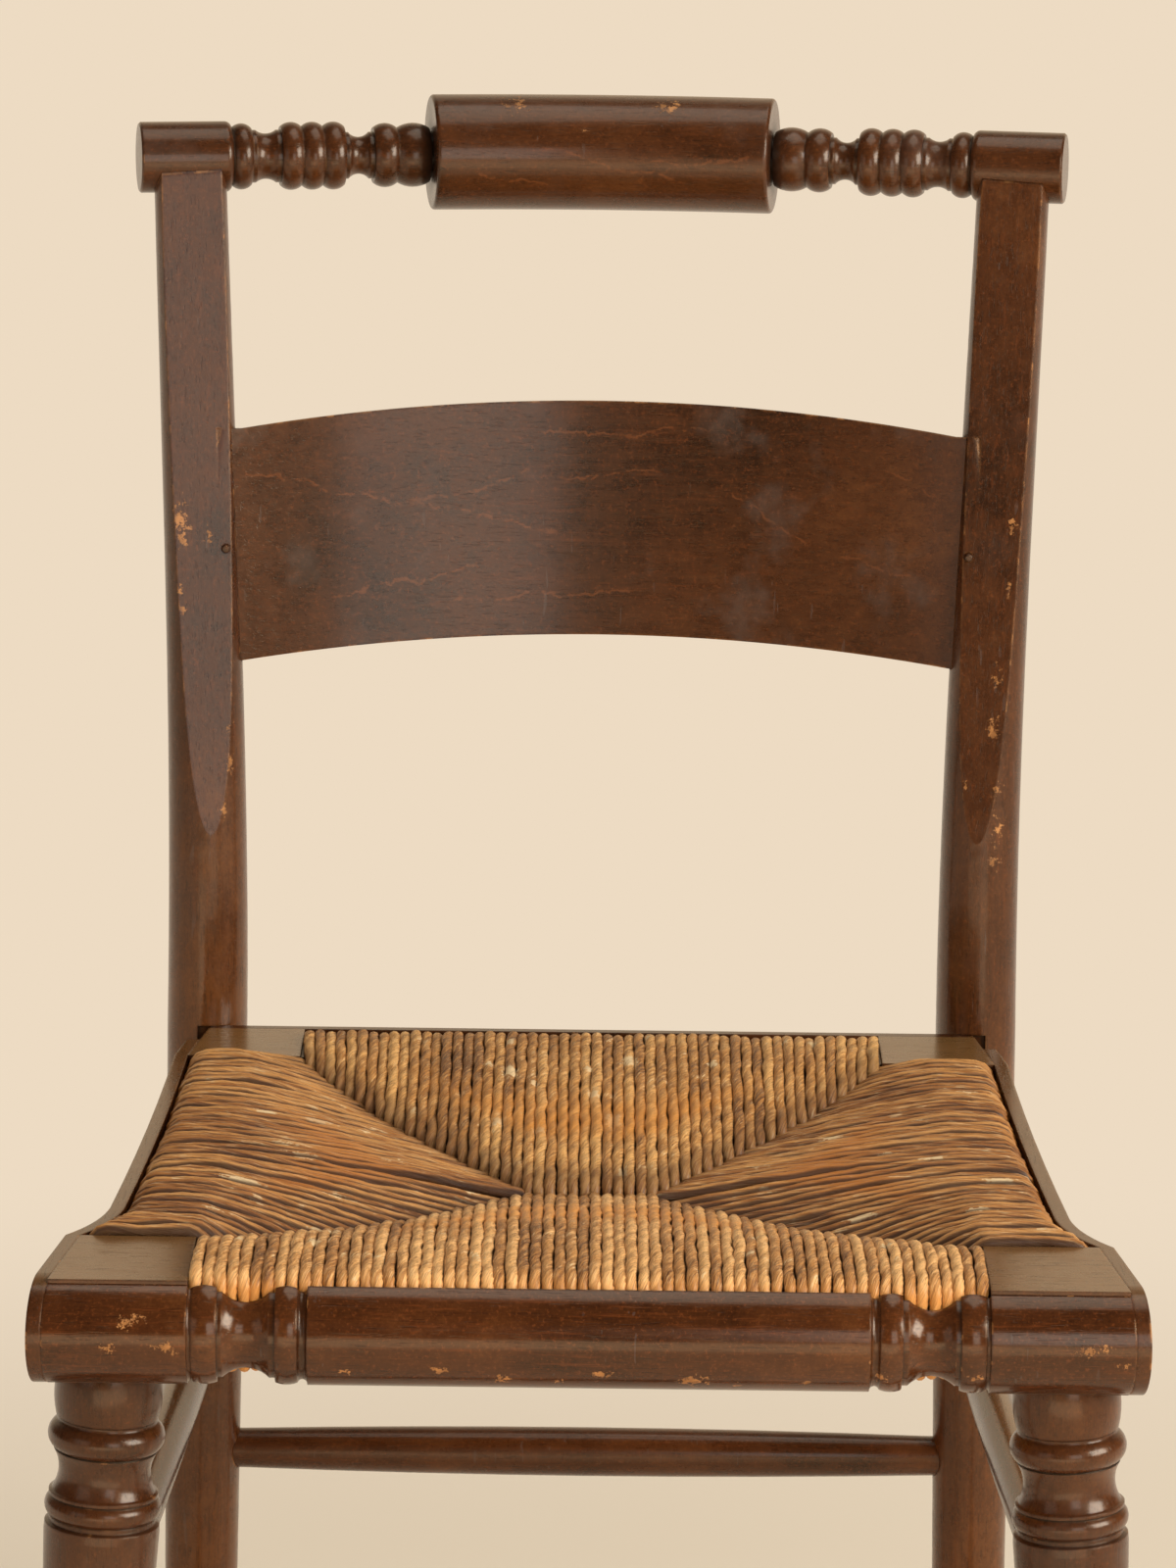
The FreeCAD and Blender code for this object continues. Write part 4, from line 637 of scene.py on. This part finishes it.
def twistedRush(panel):
    # fibres that follow the twist of one panel's strands
    look = rushLooks[panel]
    across, seam = look["across"], look["seam"]
    material, bench = newMaterial(panel + "Rush")
    where = bench.coordinates("Object")
    facing = bench.coordinates("Normal")
    sideways = bench.axis(facing, across)
    about = bench.make("ShaderNodeAttribute", {"attribute_name": "about"}, None, out="Vector")

    def stored(attribute):
        return bench.make("ShaderNodeAttribute", {"attribute_name": attribute}, None, out="Fac")

    travelled, chance, ridge = stored("travelled"), stored("chance"), stored("ridge")
    spread = bench.make("ShaderNodeCombineXYZ", None, {
        0: chance * 9.0, 1: chance * 5.0, 2: travelled * look["run"] + chance * 11.0})
    flow = bench.make("ShaderNodeVectorMath", {"operation": "ADD"}, {0: about, 1: spread})
    fibre = bench.noise(flow, 2.4, 4, 0.7)
    hair = bench.noise(flow, 7.5, 3, 0.6)
    broad = bench.noise(where, 14, 3, 0.6)
    patch = bench.noise(where, 60, 4, 0.65)
    crumb = bench.noise(where, 330, 4, 0.7)

    # each panel's scale tints the stain, and darkens the side panels as painted shade
    def tintedAndShaded(*stain):
        return colour(*(share * part for share, part in zip(stain, look["tintAndShade"])))

    brown = tintedAndShaded(0.150, 0.0500, 0.0100)
    ochre = tintedAndShaded(0.520, 0.2250, 0.0520)
    tan = tintedAndShaded(0.860, 0.4700, 0.1550)
    orange = tintedAndShaded(0.720, 0.2800, 0.0440)
    straw = colour(0.86, 0.62, 0.33)
    tone = fibre * 1.3 + chance * 0.34 + broad * 0.7 + patch * 0.25 - 0.79
    base = bench.mix(tone.ramp(0.16, 0.42), brown, ochre)
    base = bench.mix(tone.ramp(0.40, 0.70), base, tan)
    base = bench.mix(hair.ramp(0.57, 0.68) * 0.60, base, straw)
    base = bench.mix(hair.ramp(0.47, 0.36) * 0.55, base, brown)

    # worn pale flecks
    fleck = (patch * 0.60 + fibre * 0.50).ramp(0.655, 0.70)
    longer = Vector((0.5, 1.3, 0)) if across else Vector((1.3, 0.6, 0))
    middle = bench.stretched(where, longer)
    for x, y, radius in flakes[panel]:
        away = bench.make("ShaderNodeVectorMath", {"operation": "DISTANCE"},
                          {0: middle, 1: place(x, y, 0) * longer}, out="Value")
        ragged = away * (1000 / radius) + crumb * 3.4 + fibre * 2.2 - 2.8
        fleck = fleck.atLeast(ragged.ramp(0.80, 1.10, 1, 0))
    base = bench.mix(fleck * 0.9, base, straw)

    # orange where a strand rolls over the rail; painted shade in the ply grooves, at the seam and
    # on the flanks between strands
    height = bench.axis(where, 2) * 1000
    rolled = height.ramp(446.8, 441.0) * travelled.ramp(0.05, 0.075)
    base = bench.mix(rolled * 0.7, base, orange)
    # painted shade in the grooves between the twisted plies
    base = bench.mix(ridge.ramp(-0.80, -1.0) * 0.25, base, brown)
    # painted shade towards a strand's end, where it goes down into the seam
    tip = travelled.ramp(0.012, 0.020 + 0.022 * seam, 1, 0) * (0.35 + 0.35 * seam)
    base = bench.mix(tip, base, colour(0.150, 0.0600, 0.0170))
    # painted shade on the flanks, where neighbouring strands meet
    flankShade = abs(sideways).ramp(*look["shadedFlanks"])
    base = bench.mix(flankShade * 0.88, base, colour(0.045, 0.0170, 0.0060))

    rough = 0.50 + fibre * 0.18 - rolled * 0.12
    relief = fibre * 0.9 + hair * 0.5 + ridge * 0.3
    finishMaterial(bench, base, rough.clamped(), relief, 0.7, 0.0011, {
        "Coat Weight": 0.22, "Coat Roughness": 0.28, "Specular IOR Level": 0.35})
    return material


def windPanel(name, paths, material, seed, twist, stands):
    guide = guideCurve(name + "_guide", paths)
    modifier = guide.modifiers.new("twist", "NODES")
    modifier.node_group = rushTree
    wanted = {"Segment": rush["segment"], "Seed": seed, "Wobble": rush["wobble"],
              "Material": material, **twist}
    for item in rushTree.interface.items_tree:
        if item.in_out == "INPUT" and item.name in wanted:
            modifier[item.identifier] = wanted[item.name]
    depsgraph = bpy.context.evaluated_depsgraph_get()
    mesh = bpy.data.meshes.new_from_object(guide.evaluated_get(depsgraph))
    mesh.name = name
    guide.modifiers.remove(modifier)
    bpy.data.objects.remove(guide)
    panel = bpy.data.objects.new(name, mesh)
    bpy.context.scene.collection.objects.link(panel)
    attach(panel, "root")
    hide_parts(stands)
    print(name, "has", len(mesh.polygons), "faces")


pick = random.Random(7)
rushTree = strandTree()
frontRush = twistedRush("front")
backRush = twistedRush("back")
sideRush = twistedRush("side")
windPanel("rush_front_strands", frontPaths(), frontRush, 3, frontTwist, "rush_front")
windPanel("rush_back_strands", backPaths(), backRush, 4, frontTwist, "rush_back")
windPanel("rush_right_strands", sidePaths(1), sideRush, 5, sideTwist, "rush_right")
windPanel("rush_left_strands", sidePaths(-1), sideRush, 6, sideTwist, "rush_left")


# stuffing: a lumpy pad under the strands, in the drawing's mm; across and deep count its
# squares, and the pairs are a place from front to back with the pad's half width there
stuffing = {
    "down": 8.5,
    "up": 7.5,
    "lump": 0.7,
    "across": 36,
    "deep": 34,
    "ends": [(64.5, 161.5), (366.0, 149.5)],
    "frontBlocks": (77.5, 160.5),
    "backBlocks": (361.0, 130.5),
    "rise": 7.0,
    "innerFront": 163.0,
    "innerBack": 152.0,
}


def surfaceHeight(x, y):
    # height of the rush over a place in the seat
    frontX, frontY = seat["frontCorner"]
    backX, backY = seat["backCorner"]
    half = abs(x)
    if y < seat["seamY"]:
        share = min(1.0, max(0.0, (y - frontY) / (seat["seamY"] - frontY)))
        seamX = frontX + (seat["seamHalf"] - frontX) * share
        sideways = (half - seamX) / (stuffing["innerFront"] - seamX + 6)
        lengthways = (seamX - half) / (frontX - half + 6) if half < frontX else 0
        low = seamHeight(share if sideways > 0 else
                         min(1.0, (frontX - half) / (frontX - seat["seamHalf"])), True)
    else:
        share = min(1.0, max(0.0, (backY - y) / (backY - seat["seamY"])))
        seamX = backX + (seat["seamHalf"] - backX) * share
        sideways = (half - seamX) / (stuffing["innerBack"] - seamX + 6)
        lengthways = (seamX - half) / (backX - half + 6) if half < backX else 0
        low = seamHeight(share if sideways > 0 else
                         min(1.0, (backX - half) / (backX - seat["seamHalf"])), False)
    away = min(1.0, max(0.0, sideways, lengthways))
    return low + (rush["top"] - low) * (1 - (1 - away) ** 1.2)


def makeStuffing():
    mesh = bmesh.new()
    across, deep = stuffing["across"], stuffing["deep"]
    start, end = stuffing["ends"][0][0], stuffing["ends"][1][0]
    lump = random.Random(11)
    rows = []
    for j in range(deep + 1):
        y = start + (end - start) * j / deep
        width = between(y, stuffing["ends"])
        # narrower between the corner blocks
        if y < stuffing["frontBlocks"][0]:
            width = stuffing["frontBlocks"][1]
        if y > stuffing["backBlocks"][0]:
            width = stuffing["backBlocks"][1]
        top, under = [], []
        for i in range(across + 1):
            x = width * (2 * i / across - 1)
            high = surfaceHeight(x, y) - stuffing["down"] + lump.uniform(-1, 1) * stuffing["lump"]
            low = rush["under"] + stuffing["up"] + lump.uniform(-1, 1) * stuffing["lump"]
            inwards = min(1.0, (1 - abs(x) / stuffing["innerFront"]) * 1.2)
            low = low + stuffing["rise"] * inwards * (1 - abs(y - seat["seamY"]) / 170)
            top.append(mesh.verts.new(place(x, y, max(high, low + 1.5))))
            under.append(mesh.verts.new(place(x, y, low)))
        rows.append((top, under))
    for (top, under), (nextTop, nextUnder) in zip(rows, rows[1:]):
        for i in range(across):
            mesh.faces.new((top[i], top[i + 1], nextTop[i + 1], nextTop[i]))
            mesh.faces.new((under[i + 1], under[i], nextUnder[i], nextUnder[i + 1]))
        mesh.faces.new((under[0], top[0], nextTop[0], nextUnder[0]))
        mesh.faces.new((top[-1], under[-1], nextUnder[-1], nextTop[-1]))
    for top, under, order in ((rows[0][0], rows[0][1], 1), (rows[-1][0], rows[-1][1], -1)):
        for i in range(across):
            mesh.faces.new((top[i], under[i], under[i + 1], top[i + 1])[::order])
    for face in mesh.faces:
        face.smooth = True
    data = bpy.data.meshes.new("stuffing_pad")
    mesh.to_mesh(data)
    mesh.free()
    pad = bpy.data.objects.new("stuffing_pad", data)
    bpy.context.scene.collection.objects.link(pad)

    material, bench = newMaterial("looseRush")
    where = bench.coordinates("Object")
    straws = bench.noise(bench.stretched(where, (1, 0.2, 1)), 420, 4, 0.65, 0.6)
    base = bench.mix(straws.ramp(0.4, 0.65), colour(0.035, 0.016, 0.007),
                     colour(0.14, 0.07, 0.028))
    finishMaterial(bench, base, 0.75 + straws * 0.2, straws, 0.8, 0.002, {})
    data.materials.append(material)
    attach(pad, "root")
    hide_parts("rush_stuffing")
    print("stuffing laid")


makeStuffing()


# floor, surroundings and lamps
studio = {
    "backdrop": colour(0.847, 0.708, 0.545),
    "mirrored": colour(0.830, 0.650, 0.440),
    "ambient": colour(0.42, 0.395, 0.355),
    "dark": colour(0.040, 0.032, 0.024),
}
lamps = [
    # name, place, aim, width, height, watts, colour
    ("key", (2.5, -1.5, 1.7), (0, 0, 0.55), 1.7, 1.5, 88, (1.0, 0.97, 0.92)),
    ("window", (0.60, -2.4, 1.05), (0, 0, 0.7), 0.9, 1.0, 7, (0.97, 0.98, 1.0)),
    ("fill", (-2.2, -2.2, 1.3), (0, 0, 0.5), 1.6, 1.6, 5, (1.0, 0.97, 0.93)),
    ("top", (0.3, 0.3, 2.7), (0, 0, 0.4), 1.4, 1.4, 11, (1.0, 0.95, 0.87)),
    ("bounce", (0.0, -1.5, 0.05), (0, -0.2, 0.5), 1.8, 0.8, 6, (1.0, 0.78, 0.52)),
]


def pathShare(bench):
    # one for rays that show the surroundings as they look
    seen = bench.make("ShaderNodeLightPath", None, None, out="Is Camera Ray")
    glossy = bench.make("ShaderNodeLightPath", None, None, out="Is Glossy Ray")
    through = bench.make("ShaderNodeLightPath", None, None, out="Is Transmission Ray")
    return seen, glossy.atLeast(through)


def makeFloor():
    mesh = bmesh.new()
    bmesh.ops.create_circle(mesh, cap_ends=True, segments=96, radius=60)
    data = bpy.data.meshes.new("floor")
    mesh.to_mesh(data)
    mesh.free()
    floor = bpy.data.objects.new("floor", data)
    bpy.context.scene.collection.objects.link(floor)
    material, bench = newMaterial("paleFloor")
    where = bench.coordinates("Object")
    away = bench.make("ShaderNodeVectorMath", {"operation": "LENGTH"}, {0: where}, out="Value")
    seen, glossy = pathShare(bench)
    lit = bench.make("ShaderNodeBsdfDiffuse", None, {"Color": colour(0.86, 0.74, 0.58)})
    glow = bench.make("ShaderNodeEmission", None, {"Color": studio["backdrop"]})
    share = away.ramp(0.5, 1.5) * seen.atLeast(glossy)
    surface = bench.make("ShaderNodeMixShader", None, {0: share, 1: lit, 2: glow})
    bench.make("ShaderNodeOutputMaterial", None, {"Surface": surface})
    data.materials.append(material)


def makeWorld():
    world = bpy.data.worlds.new("studio")
    world.use_nodes = True
    bpy.context.scene.world = world
    bench = Bench(world.node_tree)
    way = bench.coordinates("Generated")
    deep = bench.axis(way, 1)
    seen, glossy = pathShare(bench)
    # polished wood mirrors the pale room behind the chair, and a darker one in front
    mirrored = bench.mix(deep.ramp(0.50, 0.95), studio["dark"], studio["mirrored"])
    surround = bench.mix(glossy, studio["ambient"], mirrored)
    surround = bench.mix(seen, surround, studio["backdrop"])
    light = bench.make("ShaderNodeBackground", None, {"Color": surround, "Strength": 1.0})
    bench.make("ShaderNodeOutputWorld", None, {"Surface": light})


def makeLamps():
    for name, at, aim, width, height, watts, tint in lamps:
        data = bpy.data.lights.new(name, "AREA")
        data.shape = "RECTANGLE"
        data.size, data.size_y = width, height
        data.energy = watts
        data.color = tint
        lamp = bpy.data.objects.new(name, data)
        bpy.context.scene.collection.objects.link(lamp)
        lamp.location = at
        lamp.rotation_euler = (Vector(aim) - Vector(at)).to_track_quat("-Z", "Y").to_euler()


makeFloor()
makeWorld()
makeLamps()
bpy.context.scene.view_settings.view_transform = "Standard"
print("studio lit")
